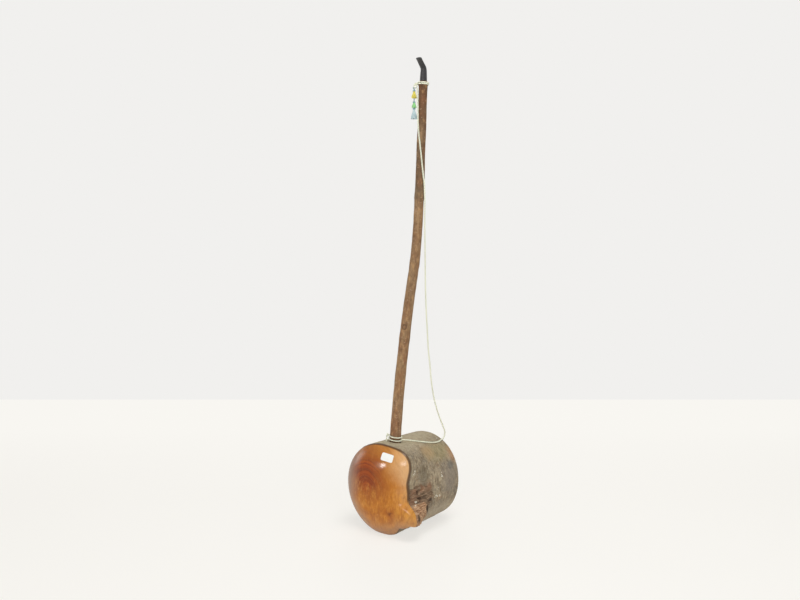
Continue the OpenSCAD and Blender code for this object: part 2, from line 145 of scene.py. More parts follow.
def grain(points: Array, size: Point, seed: float, octaves: int = 2) -> Array:
    """Read smooth noise at points.

    Args:
        points: Points, with the coordinates on the last axis.
        size: Size of the noise's lumps along X, Y and Z.
        seed: Offset into the noise.
        octaves: How many finer layers are added.

    Returns:
        One value for each point, about -1 to 1.
    """
    fading, finer = 0.9, 2.1
    spots = (points.reshape(-1, 3) / np.array(size) + seed).tolist()
    values = [noise.fractal(spot, fading, finer, octaves) for spot in spots]
    return np.array(values).reshape(points.shape[:-1])


@dataclass
class Shell:
    """A mesh in the making: points, faces and values on the points."""

    points: Array
    faces: list[tuple[int, ...]]
    values: dict[str, Array] = field(default_factory=dict)

    @classmethod
    def over(cls, rings: Array, loop: bool = False) -> "Shell":
        """Lay a closed skin over rings of points.

        Args:
            rings: Points by ring and by side.
            loop: True where the last ring meets the first, False where both ends are capped.

        Returns:
            The skin.
        """
        count, sides = rings.shape[:2]
        row = np.arange(count if loop else count - 1)[:, None]
        side = np.arange(sides)[None, :]
        after, beside = (row + 1) % count, (side + 1) % sides
        corners = [(row, side), (row, beside), (after, beside), (after, side)]
        numbers = np.stack([ring * sides + k for ring, k in corners], -1)
        faces = [tuple(f) for f in numbers.reshape(-1, 4).tolist()]
        points = rings.reshape(-1, 3)
        if not loop:
            ends = [rings[0].mean(axis=0), rings[-1].mean(axis=0)]
            start, last = len(points), (count - 1) * sides
            for k in range(sides):
                following = (k + 1) % sides
                faces.append((following, k, start))
                faces.append((last + k, last + following, start + 1))
            points = np.vstack([points, ends])
        return cls(points, faces)

    def give(self, name: str, values: Array) -> "Shell":
        """Put a value on every point.

        Args:
            name: Name of the value.
            values: The values. The last one also goes to points past their end.

        Returns:
            The shell.
        """
        flat = np.asarray(values, dtype=float).reshape(-1)
        spare = len(self.points) - len(flat)
        self.values[name] = np.concatenate([flat, np.full(spare, flat[-1])])
        return self

    def moved(self, matrix: Matrix) -> "Shell":
        """Place the points by a matrix."""
        self.points = placed(self.points, matrix)
        return self

    @staticmethod
    def joined(shells: list["Shell"]) -> "Shell":
        """Join shells that hold the same named values.

        Args:
            shells: The shells.

        Returns:
            One shell.
        """
        starts = np.cumsum([0] + [len(s.points) for s in shells])
        faces = [tuple(k + start for k in f) for s, start in zip(shells, starts) for f in s.faces]
        names = shells[0].values
        values = {name: np.concatenate([s.values[name] for s in shells]) for name in names}
        return Shell(np.vstack([s.points for s in shells]), faces, values)

    def to_object(self, name: str, material: Material, crease: float = CREASE) -> Object:
        """Make the shell a Blender object at the origin.

        Args:
            name: The object's name.
            material: Its finish.
            crease: Edges sharper than this angle stay sharp.

        Returns:
            The object, with its faces pointing outwards.
        """
        mesh = bpy.data.meshes.new(name)
        mesh.from_pydata(self.points.tolist(), [], self.faces)
        for key, values in self.values.items():
            mesh.attributes.new(key, "FLOAT", "POINT").data.foreach_set("value", values)
        work = bmesh.new()
        work.from_mesh(mesh)
        bmesh.ops.recalc_face_normals(work, faces=work.faces)
        if work.calc_volume(signed=True) < 0:
            bmesh.ops.reverse_faces(work, faces=work.faces)
        work.to_mesh(mesh)
        work.free()
        mesh.materials.append(material)
        obj = bpy.data.objects.new(name, mesh)
        bpy.context.scene.collection.objects.link(obj)
        soften(obj, crease)
        return obj


def soften(obj: Object, crease: float) -> None:
    """Shade an object smooth, except over edges sharper than an angle in degrees."""
    obj.data.shade_smooth()
    obj.data.set_sharp_from_angle(angle=math.radians(crease))


def settle(obj: Object) -> None:
    """Make what an object's modifiers give its own plain mesh, and remove the modifiers.

    Args:
        obj: The object.
    """
    graph = bpy.context.evaluated_depsgraph_get()
    mesh = bpy.data.meshes.new_from_object(obj.evaluated_get(graph), depsgraph=graph)
    before = obj.data
    obj.modifiers.clear()
    obj.data = mesh
    bpy.data.meshes.remove(before)


def carve(obj: Object, cutter: Shell, crease: float) -> None:
    """Cut a shell's volume out of an object, and dissolve points left along straight edges.

    Args:
        obj: The object.
        cutter: The shell.
        crease: Edges sharper than this angle stay sharp.
    """
    tool = cutter.to_object("cutter", obj.data.materials[0])
    cut = obj.modifiers.new("carve", "BOOLEAN")
    cut.operation, cut.solver, cut.object = "DIFFERENCE", "EXACT", tool
    settle(obj)
    used = tool.data
    bpy.data.objects.remove(tool)
    bpy.data.meshes.remove(used)
    work = bmesh.new()
    work.from_mesh(obj.data)
    bmesh.ops.dissolve_verts(work, verts=[v for v in work.verts if len(v.link_edges) == 2])
    work.to_mesh(obj.data)
    work.free()
    soften(obj, crease)


def enter(obj: Object, body: Body, slot: Slot, *nodes: str) -> None:
    """Enter a finished piece in the frame.

    Args:
        obj: The piece.
        body: The body that it rides on.
        slot: The material slot of its finish; not used.
        nodes: CAD nodes that it stands for.
    """
    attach(obj, body.value)
    if nodes:
        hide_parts(*nodes)
    stands_for = ", ".join(nodes) or "no node"
    faces = len(obj.data.polygons)
    LOG.info("%s rides on %s, %d faces, stands for %s", obj.name, body.value, faces, stands_for)


def turned(degrees: float, axis: str) -> Matrix:
    """Return the matrix of a turn about an axis."""
    return Matrix.Rotation(math.radians(degrees), 4, axis)


def frame_at(place: Array, lean: float = 0, bearing: float = 0) -> Matrix:
    """Return the frame that leans towards +X, is turned about its own Z and stands at a place."""
    return Matrix.Translation(Vector(place)) @ turned(lean, "Y") @ turned(bearing, "Z")


def placed(points: Array, matrix: Matrix) -> Array:
    """Place points by a matrix."""
    turn = np.array(matrix)
    return points @ turn[:3, :3].T + turn[:3, 3]


def circle(sides: int) -> Array:
    """Return the angles round a circle, in radians."""
    return np.arange(sides) * 2 * np.pi / sides


def across_and_up(bearing: Array, radius: Array) -> tuple[Array, Array]:
    """Return how far across and up a point lies, at a bearing from +Z towards +X."""
    turn = np.radians(bearing)
    return radius * np.sin(turn), radius * np.cos(turn)


def lathe(profile: list[tuple[float, float]], sides: int = 72) -> Shell:
    """Turn a profile about Z.

    Args:
        profile: Radii and heights.
        sides: Sides of the result.

    Returns:
        A capped shell.
    """
    across, along = np.cos(circle(sides)), np.sin(circle(sides))
    rings = [np.stack([r * across, r * along, np.full(sides, z)], -1) for r, z in profile]
    return Shell.over(np.array(rings))


def lengths_along(path: Array) -> Array:
    """Return how far along a path each of its points is."""
    return np.concatenate([[0], np.cumsum(np.linalg.norm(np.diff(path, axis=0), axis=1))])


def evenly(path: Array, step: float) -> Array:
    """Resample a dense path.

    Args:
        path: The path.
        step: About the length of one step.

    Returns:
        Points at an even step.
    """
    along = lengths_along(path)
    spots = np.linspace(0, along[-1], max(3, round(along[-1] / step) + 1))
    return np.stack([np.interp(spots, along, path[:, k]) for k in range(3)], -1)


def smooth_line(route: Array, steps: int) -> Array:
    """Run a smooth line through points.

    Args:
        route: The points.
        steps: Number of steps between two of them.

    Returns:
        The line's points.
    """
    padded = np.vstack([route[:1], route, route[-1:]])
    a, b, c, d = (padded[k : len(route) - 1 + k][:, None, :] for k in range(4))
    t = (np.arange(steps) / steps)[None, :, None]
    spots = b + t * (c - a) / 2 + t**2 * (a - 2.5 * b + 2 * c - d / 2)
    spots = spots + t**3 * (1.5 * (b - c) + (d - a) / 2)
    return np.vstack([spots.reshape(-1, 3), route[-1:]])


def carried(path: Array, first: Point) -> tuple[Array, Array]:
    """Carry two side vectors along a path without twist.

    Args:
        path: The path's points.
        first: About the direction of the first side vector at the start.

    Returns:
        The two side vectors at each point.
    """
    ways = unit(np.gradient(path, axis=0))
    sides, side = np.empty_like(path), np.array(first, dtype=float)
    for i, way in enumerate(ways):
        side = unit(side - way * (side @ way))
        sides[i] = side
    return sides, np.cross(ways, sides)


def hoops(side: Array, other: Array, sides: int) -> Array:
    """Return circles of radius 1 across a path, from the side vectors at its points."""
    turn = circle(sides)[None, :, None]
    return np.cos(turn) * side[:, None] + np.sin(turn) * other[:, None]


def rope(
    path: Array, radius: float | Array, pitch: float, strands: int = 3, sides: int = 7,
) -> Shell:
    """Twist strands about a path.

    Args:
        path: The rope's centreline, in even steps.
        radius: Radius of the whole rope, or one for each point.
        pitch: Length of one turn of the twist.
        strands: Number of strands.
        sides: Sides of one strand.

    Returns:
        The rope, with the value strand, 0 to 1.
    """
    side, other = carried(path, (0.31, 0.12, 0.94))
    along = lengths_along(path)
    full = np.broadcast_to(radius, along.shape)
    strand_r, offset = full * STRAND_SIZE, full * STRAND_OFFSET
    from_end = np.minimum(along, along[-1] - along)
    taper = np.sqrt(np.clip(from_end / strand_r, 0.06, 1))
    rims = (strand_r * taper)[:, None, None] * hoops(side, other, sides)
    shells = []
    for k in range(strands):
        angle = 2 * np.pi * (along / pitch + k / strands)
        x, y = (offset * np.cos(angle))[:, None], (offset * np.sin(angle))[:, None]
        shell = Shell.over((path + x * side + y * other)[:, None] + rims)
        shells.append(shell.give("strand", np.full(len(shell.points), k / max(1, strands - 1))))
    return Shell.joined(shells)


class Graph:
    """A node tree in the making, with short calls for the nodes that the trees share."""

    def __init__(self, tree: NodeTree) -> None:
        """Keep the tree."""
        self.tree = tree

    def add(self, kind: str, feeds: dict | None = None, **settings: object) -> Node:
        """Add a node.

        Args:
            kind: The node's type.
            feeds: What goes into its sockets, by name or number: a value or another node's output.
            settings: The node's own options.

        Returns:
            The node.
        """
        node = self.tree.nodes.new(kind)
        for key, value in settings.items():
            setattr(node, key, value)
        for key, value in (feeds or {}).items():
            if isinstance(value, NodeSocket):
                self.tree.links.new(value, node.inputs[key])
            else:
                node.inputs[key].default_value = value
        return node

    def math(self, operation: str, *values: object) -> NodeSocket:
        """Return the result of a sum on numbers or sockets."""
        return self.add("ShaderNodeMath", dict(enumerate(values)), operation=operation).outputs[0]

    def product(self, *factors: object) -> NodeSocket:
        """Return the product of numbers or sockets."""
        return reduce(lambda first, other: self.math("MULTIPLY", first, other), factors)

    def vector(self, operation: str, *values: object, output: str = "Vector") -> NodeSocket:
        """Return the result of a sum on vectors, which is the output Value where it is a number."""
        node = self.add("ShaderNodeVectorMath", dict(enumerate(values)), operation=operation)
        return node.outputs[output]

    def between(
        self, value: object, low: object, high: object, start: float = 0, end: float = 1,
        bend: str = "LINEAR",
    ) -> NodeSocket:
        """Return a value spread from low and high to start and end, and held at its ends."""
        feeds = {"Value": value, "From Min": low, "From Max": high, "To Min": start, "To Max": end}
        return self.add("ShaderNodeMapRange", feeds, interpolation_type=bend).outputs["Result"]

    def seen_directly(self) -> NodeSocket:
        """Return 1 for camera, glossy and clear rays, and 0 for light that falls on things."""
        path = self.add("ShaderNodeLightPath").outputs
        shiny = self.math("MAXIMUM", path["Is Glossy Ray"], path["Is Transmission Ray"])
        return self.math("MAXIMUM", path["Is Camera Ray"], shiny)


@dataclass(frozen=True)
class Mottle:
    """Noise in a finish: the size of its lumps along X, Y and Z, its detail, and its shift."""

    size: Point
    detail: float = 4
    shift: Point = (0, 0, 0)


@dataclass(frozen=True)
class Tint:
    """A tone laid over a finish, from none of it to the most as a value goes from low to high."""

    tone: Colour
    low: float
    high: float
    most: float = 1


@dataclass(frozen=True)
class Zone:
    """A round zone: its middle, its reach (0 along an axis left out), and how ragged it is."""

    middle: Point
    reach: Point
    ragged: float = 0


@dataclass(frozen=True)
class Side:
    """A side of the polished end: where it begins and is full in X and Z, and its least in Z."""

    x: Span
    z: Span
    least: float = 0


class FinishGraph(Graph):
    """The node tree of a material."""

    def __init__(self, name: str) -> None:
        """Make the material and find its shader.

        Args:
            name: Name of the material.
        """
        self.material = bpy.data.materials.new(name)
        self.material.use_nodes = True
        super().__init__(self.material.node_tree)
        self.shader = self.tree.nodes["Principled BSDF"]
        self.place = self.add("ShaderNodeTexCoord").outputs["Object"]
        self.colour: NodeSocket | Colour = (128, 128, 128)

    def stretched(self, size: Point, shift: Point = (0, 0, 0)) -> NodeSocket:
        """Return Object coordinates divided by a size, so that a pattern's lumps take that size."""
        feeds = {"Vector": self.place, "Location": shift, "Scale": tuple(1 / s for s in size)}
        return self.add("ShaderNodeMapping", feeds).outputs[0]

    def mottle(self, noise_of: Mottle) -> NodeSocket:
        """Lay noise over the surface.

        Args:
            noise_of: What the noise is like.

        Returns:
            Noise of 0 to 1.
        """
        spots = self.stretched(noise_of.size, noise_of.shift)
        feeds = {"Vector": spots, "Scale": 1, "Detail": noise_of.detail, "Roughness": 0.6}
        return self.add("ShaderNodeTexNoise", feeds).outputs["Fac"]

    def away(self, zone: Zone, waver: NodeSocket | None = None) -> NodeSocket:
        """Measure the distance from the middle of a zone.

        Args:
            zone: The zone.
            waver: Noise that makes it ragged, if any.

        Returns:
            The distance, in parts of its reach.
        """
        scale = tuple(1 / r if r else 0 for r in zone.reach)
        offset = self.vector("MULTIPLY", self.vector("SUBTRACT", self.place, zone.middle), scale)
        distance = self.vector("LENGTH", offset, output="Value")
        if waver is None:
            return distance
        return self.math("MULTIPLY_ADD", waver, zone.ragged, distance)

    def value(self, name: str) -> NodeSocket:
        """Return a value that the mesh carries on its points."""
        return self.add("ShaderNodeAttribute", attribute_name=name).outputs["Fac"]

    def ramp(self, value: object, stops: Stops) -> NodeSocket:
        """Run a colour through stops.

        Args:
            value: The value that runs it, 0 to 1.
            stops: The stops.

        Returns:
            The colour.
        """
        node = self.add("ShaderNodeValToRGB", {"Fac": value})
        band = node.color_ramp.elements
        while len(band) < len(stops):
            band.new(1.0)
        for element, (place, colour) in zip(band, stops):
            element.position, element.color = place, linear(colour)
        return node.outputs["Color"]

    def mixed(self, share: object, first: object, second: object) -> NodeSocket:
        """Return a mix of two colours, each a socket or a colour of 0 to 255."""
        a, b = (c if isinstance(c, NodeSocket) else linear(c) for c in (first, second))
        return self.add("ShaderNodeMix", {0: share, 6: a, 7: b}, data_type="RGBA").outputs[2]

    def amount(self, value: object, tint: Tint) -> NodeSocket:
        """Return how much of a tint a value calls for."""
        return self.between(value, tint.low, tint.high, 0, tint.most)

    def tint(self, value: object, *tints: Tint, share: object = 1) -> None:
        """Lay tints over the colour so far.

        Args:
            value: The value that calls for them.
            tints: The tints, in order.
            share: How much of them shows.
        """
        for tint in tints:
            amount = self.amount(value, tint)
            if isinstance(share, NodeSocket):
                amount = self.product(amount, share)
            self.cover(amount, tint.tone)

    def cover(self, share: object, colour: object) -> None:
        """Lay a share of another colour over the colour so far."""
        self.colour = self.mixed(share, self.colour, colour)

    def bump(self, height: object, distance: float, strength: float = 1) -> None:
        """Roughen the surface, on top of any bump that is there.

        Args:
            height: The height, 0 to 1.
            distance: Metres at full height.
            strength: How much of it shows.
        """
        feeds = {"Height": height, "Distance": distance, "Strength": strength}
        link = self.shader.inputs["Normal"].links
        if link:
            feeds["Normal"] = link[0].from_socket
        self.feed("Normal", self.add("ShaderNodeBump", feeds).outputs["Normal"])

    def feed(self, name: str, value: object) -> None:
        """Set or link a socket of the shader.

        Args:
            name: Name of the socket.
            value: A value or a socket.
        """
        if isinstance(value, NodeSocket):
            self.tree.links.new(value, self.shader.inputs[name])
        else:
            self.shader.inputs[name].default_value = value


@dataclass(frozen=True)
class VarnishedWood:
    """End grain under clear varnish: a red heart with rings, orange flecked wood and a tan edge."""

    wood: Colour = (180, 110, 30)
    # Golden wood low on the right, partly a painted highlight.
    gold_and_highlight: Colour = (206, 149, 68)
    # Painted reflection: the grey haze on the left side of the end.
    left_reflection: Colour = (142, 122, 112)
    # Painted shadow in the gap where the wood meets the bark.
    seam_shadow: Colour = (62, 40, 25)
    heart: Stops = ((0.36, (98, 28, 0)), (0.66, (166, 74, 4)))
    bored: Stops = ((0.3, (92, 62, 40)), (0.8, (138, 98, 62)))
    edge: Tint = Tint((191, 132, 57), 0.62, 1.02)
    flush: Tint = Tint((155, 89, 28), 1.3, 0.6, 0.8)
    # Paler sapwood on the right shoulder, partly a painted highlight.
    sapwood_and_highlight: Tint = Tint((216, 174, 127), 0.45, 0.8, 0.75)
    # Greyed tone at the left and low edges: a painted reflection of the pale floor and background.
    rim: Tint = Tint((160, 128, 102), 0.5, 0.9, 0.6)
    pore: Tint = Tint((104, 50, 18), 0.6, 0.75, 0.35)
    ring_dark: Tint = Tint((120, 54, 14), 0.52, 0.72, 0.22)
    ring_light: Tint = Tint((206, 124, 44), 0.44, 0.3, 0.2)
    cloud_dark: Tint = Tint((148, 80, 24), 0.5, 0.66, 0.5)
    cloud_light: Tint = Tint((208, 146, 60), 0.47, 0.34, 0.48)
    fleck_dark: Tint = Tint((132, 68, 22), 0.55, 0.7, 0.5)
    fleck_light: Tint = Tint((222, 160, 80), 0.44, 0.32, 0.46)
    knot_red: Tint = Tint((134, 58, 18), 1.2, 0.3, 0.5)
    knot_dark: Tint = Tint((84, 36, 14), 0.4, 0.1, 0.6)
    end_zone: Zone = Zone((0.0, 0.0, 0.096), (0.1, 0, 0.1), 0.5)
    flush_zone: Zone = Zone((-0.026, 0.0, 0.150), (0.058, 0, 0.062), 0.9)
    heart_zone: Zone = Zone((-0.023, 0.0, 0.130), (0.046, 0, 0.046), 1.1)
    ring_zone: Zone = Zone((-0.022, 0.0, 0.100), (0.0074, 0, 0.0074), 1.2)
    knot_zone: Zone = Zone((0.038, 0.0, 0.057), (0.017, 0, 0.013), 1.6)
    streak_zone: Zone = Zone((-0.033, 0.0, 0.097), (0.034, 0, 0.024))
    shoulder: Side = Side((0.022, 0.066), (0.065, 0.110))
    golden: Side = Side((0.040, 0.074), (0.125, 0.085))
    left: Side = Side((-0.04, -0.08), (0.04, 0.10), 0.3)
    reflection_left: Span = (0.045, -0.01)
    reflection_low: Span = (0.06, 0.02)
    reflection_top: Span = (0.11, 0.07)
    cloudy: Span = (0.125, 0.095)
    figured: Span = (0.135, 0.095, 0.25, 0.85)
    streaked: Span = (1.2, 0.4, 0, 0.6)
    heart_edge: Span = (1.3, 0.45, 0, 0.95)
    rough: Span = (0.3, 0.7, 0.32, 0.44)
    broad_noise: Mottle = Mottle((0.030, 0.06, 0.030))
    small_noise: Mottle = Mottle((0.007, 0.02, 0.009), 3, (2, 5, 8))
    cloud_noise: Mottle = Mottle((0.009, 0.03, 0.018), 5, (7, 3, 1))
    fleck_noise: Mottle = Mottle((0.0024, 0.012, 0.013), 3)
    pore_noise: Mottle = Mottle((0.0007, 0.003, 0.0022), 2, (6, 1, 3))
    bored_noise: Mottle = Mottle((0.004, 0.03, 0.004))

    def material(self) -> Material:
        """Return the finish as a material."""
        g = FinishGraph("varnished_wood")
        place = g.add("ShaderNodeSeparateXYZ", {0: g.place}).outputs
        x, z = place["X"], place["Z"]

        def on(side: Side) -> NodeSocket:
            """Return how far a point lies on a side, 0 to 1."""
            return g.product(g.between(x, *side.x), g.between(z, *side.z, side.least))

        broad = g.math("SUBTRACT", g.mottle(self.broad_noise), 0.5)
        small = g.math("SUBTRACT", g.mottle(self.small_noise), 0.5)
        from_axis = g.away(self.end_zone, broad)
        g.colour = self.wood
        g.tint(from_axis, self.edge)
        g.tint(g.away(self.flush_zone, broad), self.flush)
        # Paler sapwood on the right shoulder, partly a painted highlight.
        shoulder = g.product(on(self.shoulder), g.amount(from_axis, self.sapwood_and_highlight))
        g.cover(shoulder, self.sapwood_and_highlight.tone)
        # Golden wood low on the right, partly a painted highlight.
        g.cover(g.product(on(self.golden), 0.35), self.gold_and_highlight)

        feeds = {"W": g.away(self.ring_zone, broad), "Scale": 1, "Detail": 3, "Roughness": 0.55}
        rings = g.add("ShaderNodeTexNoise", feeds, noise_dimensions="1D").outputs["Fac"]
        from_heart = g.math("MULTIPLY_ADD", small, 0.6, g.away(self.heart_zone, broad))
        red = g.between(from_heart, *self.heart_edge)
        g.cover(red, g.ramp(rings, self.heart))
        quiet = g.math("MULTIPLY_ADD", shoulder, -1.2, 1)
        g.tint(rings, self.ring_dark, self.ring_light, share=quiet)

        clouds, cloudy = g.mottle(self.cloud_noise), g.between(z, *self.cloudy)
        g.tint(clouds, self.cloud_dark, self.cloud_light, share=cloudy)
        streaked = g.between(g.away(self.streak_zone), *self.streaked)
        figured = g.math("ADD", g.between(z, *self.figured), streaked)
        flecks = g.mottle(self.fleck_noise)
        g.tint(flecks, self.fleck_dark, self.fleck_light, share=figured)
        g.tint(g.away(self.knot_zone, small), self.knot_red, self.knot_dark)
        g.tint(g.mottle(self.pore_noise), self.pore)

        # Painted reflection of the floor and background, greying the left and low edges.
        outer = g.math("MAXIMUM", g.between(x, *self.reflection_left), g.between(z, *self.reflection_low))
        outer = g.product(outer, g.between(z, *self.reflection_top))
        g.tint(from_axis, self.rim, share=outer)
        # Painted reflection: grey haze over the left side of the end.
        g.cover(g.product(on(self.left), 0.8), self.left_reflection)
        # Painted shadow in the gap along the bark.
        g.cover(g.value("seam_shadow"), self.seam_shadow)
        bored = g.value("bored")
        inside = g.ramp(g.mottle(self.bored_noise), self.bored)
        g.cover(bored, inside)
        g.feed("Base Color", g.colour)
        rough = g.between(flecks, *self.rough)
        g.feed("Roughness", g.math("MULTIPLY_ADD", bored, 0.45, rough))
        g.feed("Specular IOR Level", 0.0)
        g.feed("Coat Weight", 0.6)
        g.feed("Coat Roughness", 0.15)
        g.bump(flecks, 0.00008, 0.3)
        return g.material


@dataclass(frozen=True)
class StainOrLight:
    """A soft patch of tone on the bark, from a mark or from painted light: its middle, its reach,
    its tone and its strength.
    """

    middle: Point
    reach: Point
    tone: Colour
    most: float


@dataclass(frozen=True)
class LogBark:
    """Grey-brown bark with streaks round the log, a net of cracks, and a torn place at the stub."""

    ground: Stops = ((0.3, (122, 112, 98)), (0.48, (140, 124, 100)), (0.7, (182, 168, 141)))
    torn: Stops = ((0.34, (72, 55, 42)), (0.5, (116, 94, 74)), (0.68, (166, 138, 110)))
    split: Stops = ((0.32, (110, 74, 50)), (0.5, (168, 130, 97)), (0.66, (214, 180, 144)))
    # Near-black pits in the torn place: painted shade in the holes.
    pit: Colour = (44, 30, 23)
    # Dark front edge of the bark: the cut edge's tone, and painted shade in the groove beside the
    # wood.
    edge: Colour = (78, 56, 38)
    rust: Tint = Tint((156, 120, 86), 0.55, 0.72, 0.55)
    torn_red: Tint = Tint((132, 88, 62), 0.5, 0.62, 0.6)
    streak_dark: Tint = Tint((102, 89, 73), 0.5, 0.66, 0.6)
    streak_pale: Tint = Tint((186, 171, 143), 0.46, 0.33, 0.42)
    knob_dark: Tint = Tint((94, 82, 68), 0.53, 0.66, 0.6)
    knob_pale: Tint = Tint((192, 180, 154), 0.46, 0.34, 0.55)
    net_pale: Tint = Tint((190, 179, 156), 0.13, 0.07, 0.55)
    net_dark: Tint = Tint((76, 63, 51), 0.05, 0.0)
    fine_dark: Tint = Tint((108, 95, 80), 0.56, 0.75, 0.4)
    hollow: Tint = Tint((76, 63, 51), -0.2, -1.0, 0.6)
    crest: Tint = Tint((192, 180, 154), 0.3, 1.0, 0.25)
    net_shown: Span = (0.4, 0.6, 0.1, 0.8)
    rough: Span = (0.3, 0.7, 0.78, 0.95)
    patch_noise: Mottle = Mottle((0.032, 0.028, 0.032), 5)
    streak_noise: Mottle = Mottle((0.03, 0.003, 0.03), 4, (4, 4, 1))
    fine_noise: Mottle = Mottle((0.0026, 0.0014, 0.0026))
    rust_noise: Mottle = Mottle((0.02, 0.026, 0.02), 3, (6, 2, 7))
    knob_noise: Mottle = Mottle((0.0068, 0.0048, 0.0068), 5, (3, 9, 2))
    net_noise: Mottle = Mottle((0.025, 0.03, 0.025), 2, (8, 8, 3))
    shred_noise: Mottle = Mottle((0.0036, 0.015, 0.0025), 4, (1, 8, 3))
    net_size: Point = (0.014, 0.009, 0.014)
    net_shift: Point = (1, 2, 5)
    stains_and_light: tuple[StainOrLight, ...] = (
        StainOrLight((0.076, -0.036, 0.131), (0.040, 0.017, 0.026), (100, 91, 74), 0.5),
        StainOrLight((0.062, 0.034, 0.164), (0.032, 0.052, 0.020), (158, 146, 104), 0.5),
        StainOrLight((0.059, 0.002, 0.170), (0.026, 0.022, 0.016), (174, 144, 104), 0.6),
        StainOrLight((0.088, 0.046, 0.104), (0.032, 0.034, 0.036), (142, 132, 121), 0.5),
        StainOrLight((0.071, 0.075, 0.150), (0.030, 0.013, 0.018), (170, 120, 78), 0.55),
        StainOrLight((0.081, 0.058, 0.133), (0.030, 0.013, 0.010), (90, 91, 90), 0.55),
        # Paler top of the log: painted light from above.
        StainOrLight((0.0, 0.0, 0.200), (0.080, 0.200, 0.022), (198, 186, 156), 0.5),
        # Paler low right side: painted light bounced from the floor.
        StainOrLight((0.070, 0.020, 0.030), (0.060, 0.090, 0.026), (180, 166, 144), 0.6),
    )

    def material(self) -> Material:
        """Return the finish as a material."""
        g = FinishGraph("log_bark")
        patches, streaks = g.mottle(self.patch_noise), g.mottle(self.streak_noise)
        knobs, fine = g.mottle(self.knob_noise), g.mottle(self.fine_noise)
        g.colour = g.ramp(patches, self.ground)
        g.tint(g.mottle(self.rust_noise), self.rust)
        g.tint(streaks, self.streak_dark, self.streak_pale)
        g.tint(knobs, self.knob_dark, self.knob_pale)
        feeds = {"Vector": g.stretched(self.net_size, self.net_shift), "Scale": 1, "Randomness": 1}
        net = g.add("ShaderNodeTexVoronoi", feeds, feature="DISTANCE_TO_EDGE").outputs["Distance"]
        shown = g.between(g.mottle(self.net_noise), *self.net_shown)
        g.tint(net, self.net_pale, self.net_dark, share=shown)
        g.tint(fine, self.fine_dark)
        waver = g.math("SUBTRACT", patches, 0.5)
        for tone_spot in self.stains_and_light:
            away = g.away(Zone(tone_spot.middle, tone_spot.reach, 1.2), waver)
            g.tint(away, Tint(tone_spot.tone, 1.2, 0.5, tone_spot.most))
        g.tint(g.value("relief"), self.hollow, self.crest)

        shreds = g.mottle(self.shred_noise)
        reddened = g.amount(patches, self.torn_red)
        torn = g.mixed(reddened, g.ramp(shreds, self.torn), self.torn_red.tone)
        g.cover(g.product(g.value("tear"), 0.9), torn)
        g.cover(g.value("bare"), g.ramp(shreds, self.split))
        # Painted shade in the pits.
        g.cover(g.value("pit"), self.pit)
        # Cut edge tone and painted shade at the bark's front edge.
        g.cover(g.value("edge"), self.edge)
        g.feed("Base Color", g.colour)
        g.feed("Roughness", g.between(fine, *self.rough))
        g.feed("Specular IOR Level", 0.3)
        g.bump(streaks, 0.0006, 0.5)
        g.bump(knobs, 0.0012, 0.4)
        g.bump(fine, 0.0005, 0.6)
        return g.material


@dataclass(frozen=True)
class BranchBark:
    """Smooth red-brown branch bark, with painted shade at the foot, and lengthwise streaks."""

    foot_height: float = 0.19
    top_height: float = 0.95
    by_height: Stops = (
        (0.04, (136, 104, 77)), (0.18, (155, 125, 90)), (0.48, (142, 114, 84)),
        (0.66, (149, 116, 83)), (0.71, (118, 99, 76)), (1.0, (105, 77, 55)),
    )
    bare: Colour = (186, 148, 104)
    scar: Colour = (84, 60, 44)
    # Painted shade at the stem's foot, above the log.
    foot_shade: Tint = Tint((60, 47, 37), 0.214, 0.199, 0.65)
    streak_dark: Tint = Tint((98, 70, 50), 0.5, 0.7, 0.6)
    patch_red: Tint = Tint((132, 88, 60), 0.5, 0.66, 0.6)
    patch_pale: Tint = Tint((184, 152, 114), 0.47, 0.33, 0.5)
    blot_dark: Tint = Tint((94, 66, 46), 0.53, 0.66, 0.5)
    blot_pale: Tint = Tint((198, 157, 108), 0.46, 0.34, 0.45)
    cross_pale: Tint = Tint((176, 146, 116), 0.6, 0.74, 0.4)
    fine_dark: Tint = Tint((92, 68, 50), 0.56, 0.72, 0.35)
    rough: Span = (0.3, 0.7, 0.6, 0.78)
    streak_noise: Mottle = Mottle((0.0032, 0.0032, 0.06))
    patch_noise: Mottle = Mottle((0.02, 0.02, 0.045), 4, (2, 6, 4))
    blot_noise: Mottle = Mottle((0.0065, 0.0065, 0.012), 4, (9, 2, 5))
    cross_noise: Mottle = Mottle((0.006, 0.006, 0.0011), 3, (5, 1, 7))
    fine_noise: Mottle = Mottle((0.0009, 0.0009, 0.003), 3)

    def material(self) -> Material:
        """Return the finish as a material."""
        g = FinishGraph("branch_bark")
        height = g.add("ShaderNodeSeparateXYZ", {0: g.place}).outputs["Z"]
        streaks, fine = g.mottle(self.streak_noise), g.mottle(self.fine_noise)
        g.colour = g.ramp(g.between(height, self.foot_height, self.top_height), self.by_height)
        g.tint(streaks, self.streak_dark)
        g.tint(g.mottle(self.patch_noise), self.patch_red, self.patch_pale)
        g.tint(g.mottle(self.blot_noise), self.blot_dark, self.blot_pale)
        g.tint(g.mottle(self.cross_noise), self.cross_pale)
        g.tint(fine, self.fine_dark)
        # Painted shade at the foot, darkening it towards the log.
        g.tint(height, self.foot_shade)
        g.cover(g.value("scar"), self.scar)
        g.cover(g.value("bare"), self.bare)
        g.feed("Base Color", g.colour)
        g.feed("Roughness", g.between(streaks, *self.rough))
        g.feed("Specular IOR Level", 0.2)
        g.bump(streaks, 0.0004, 0.6)
        g.bump(fine, 0.0002, 0.6)
        return g.material


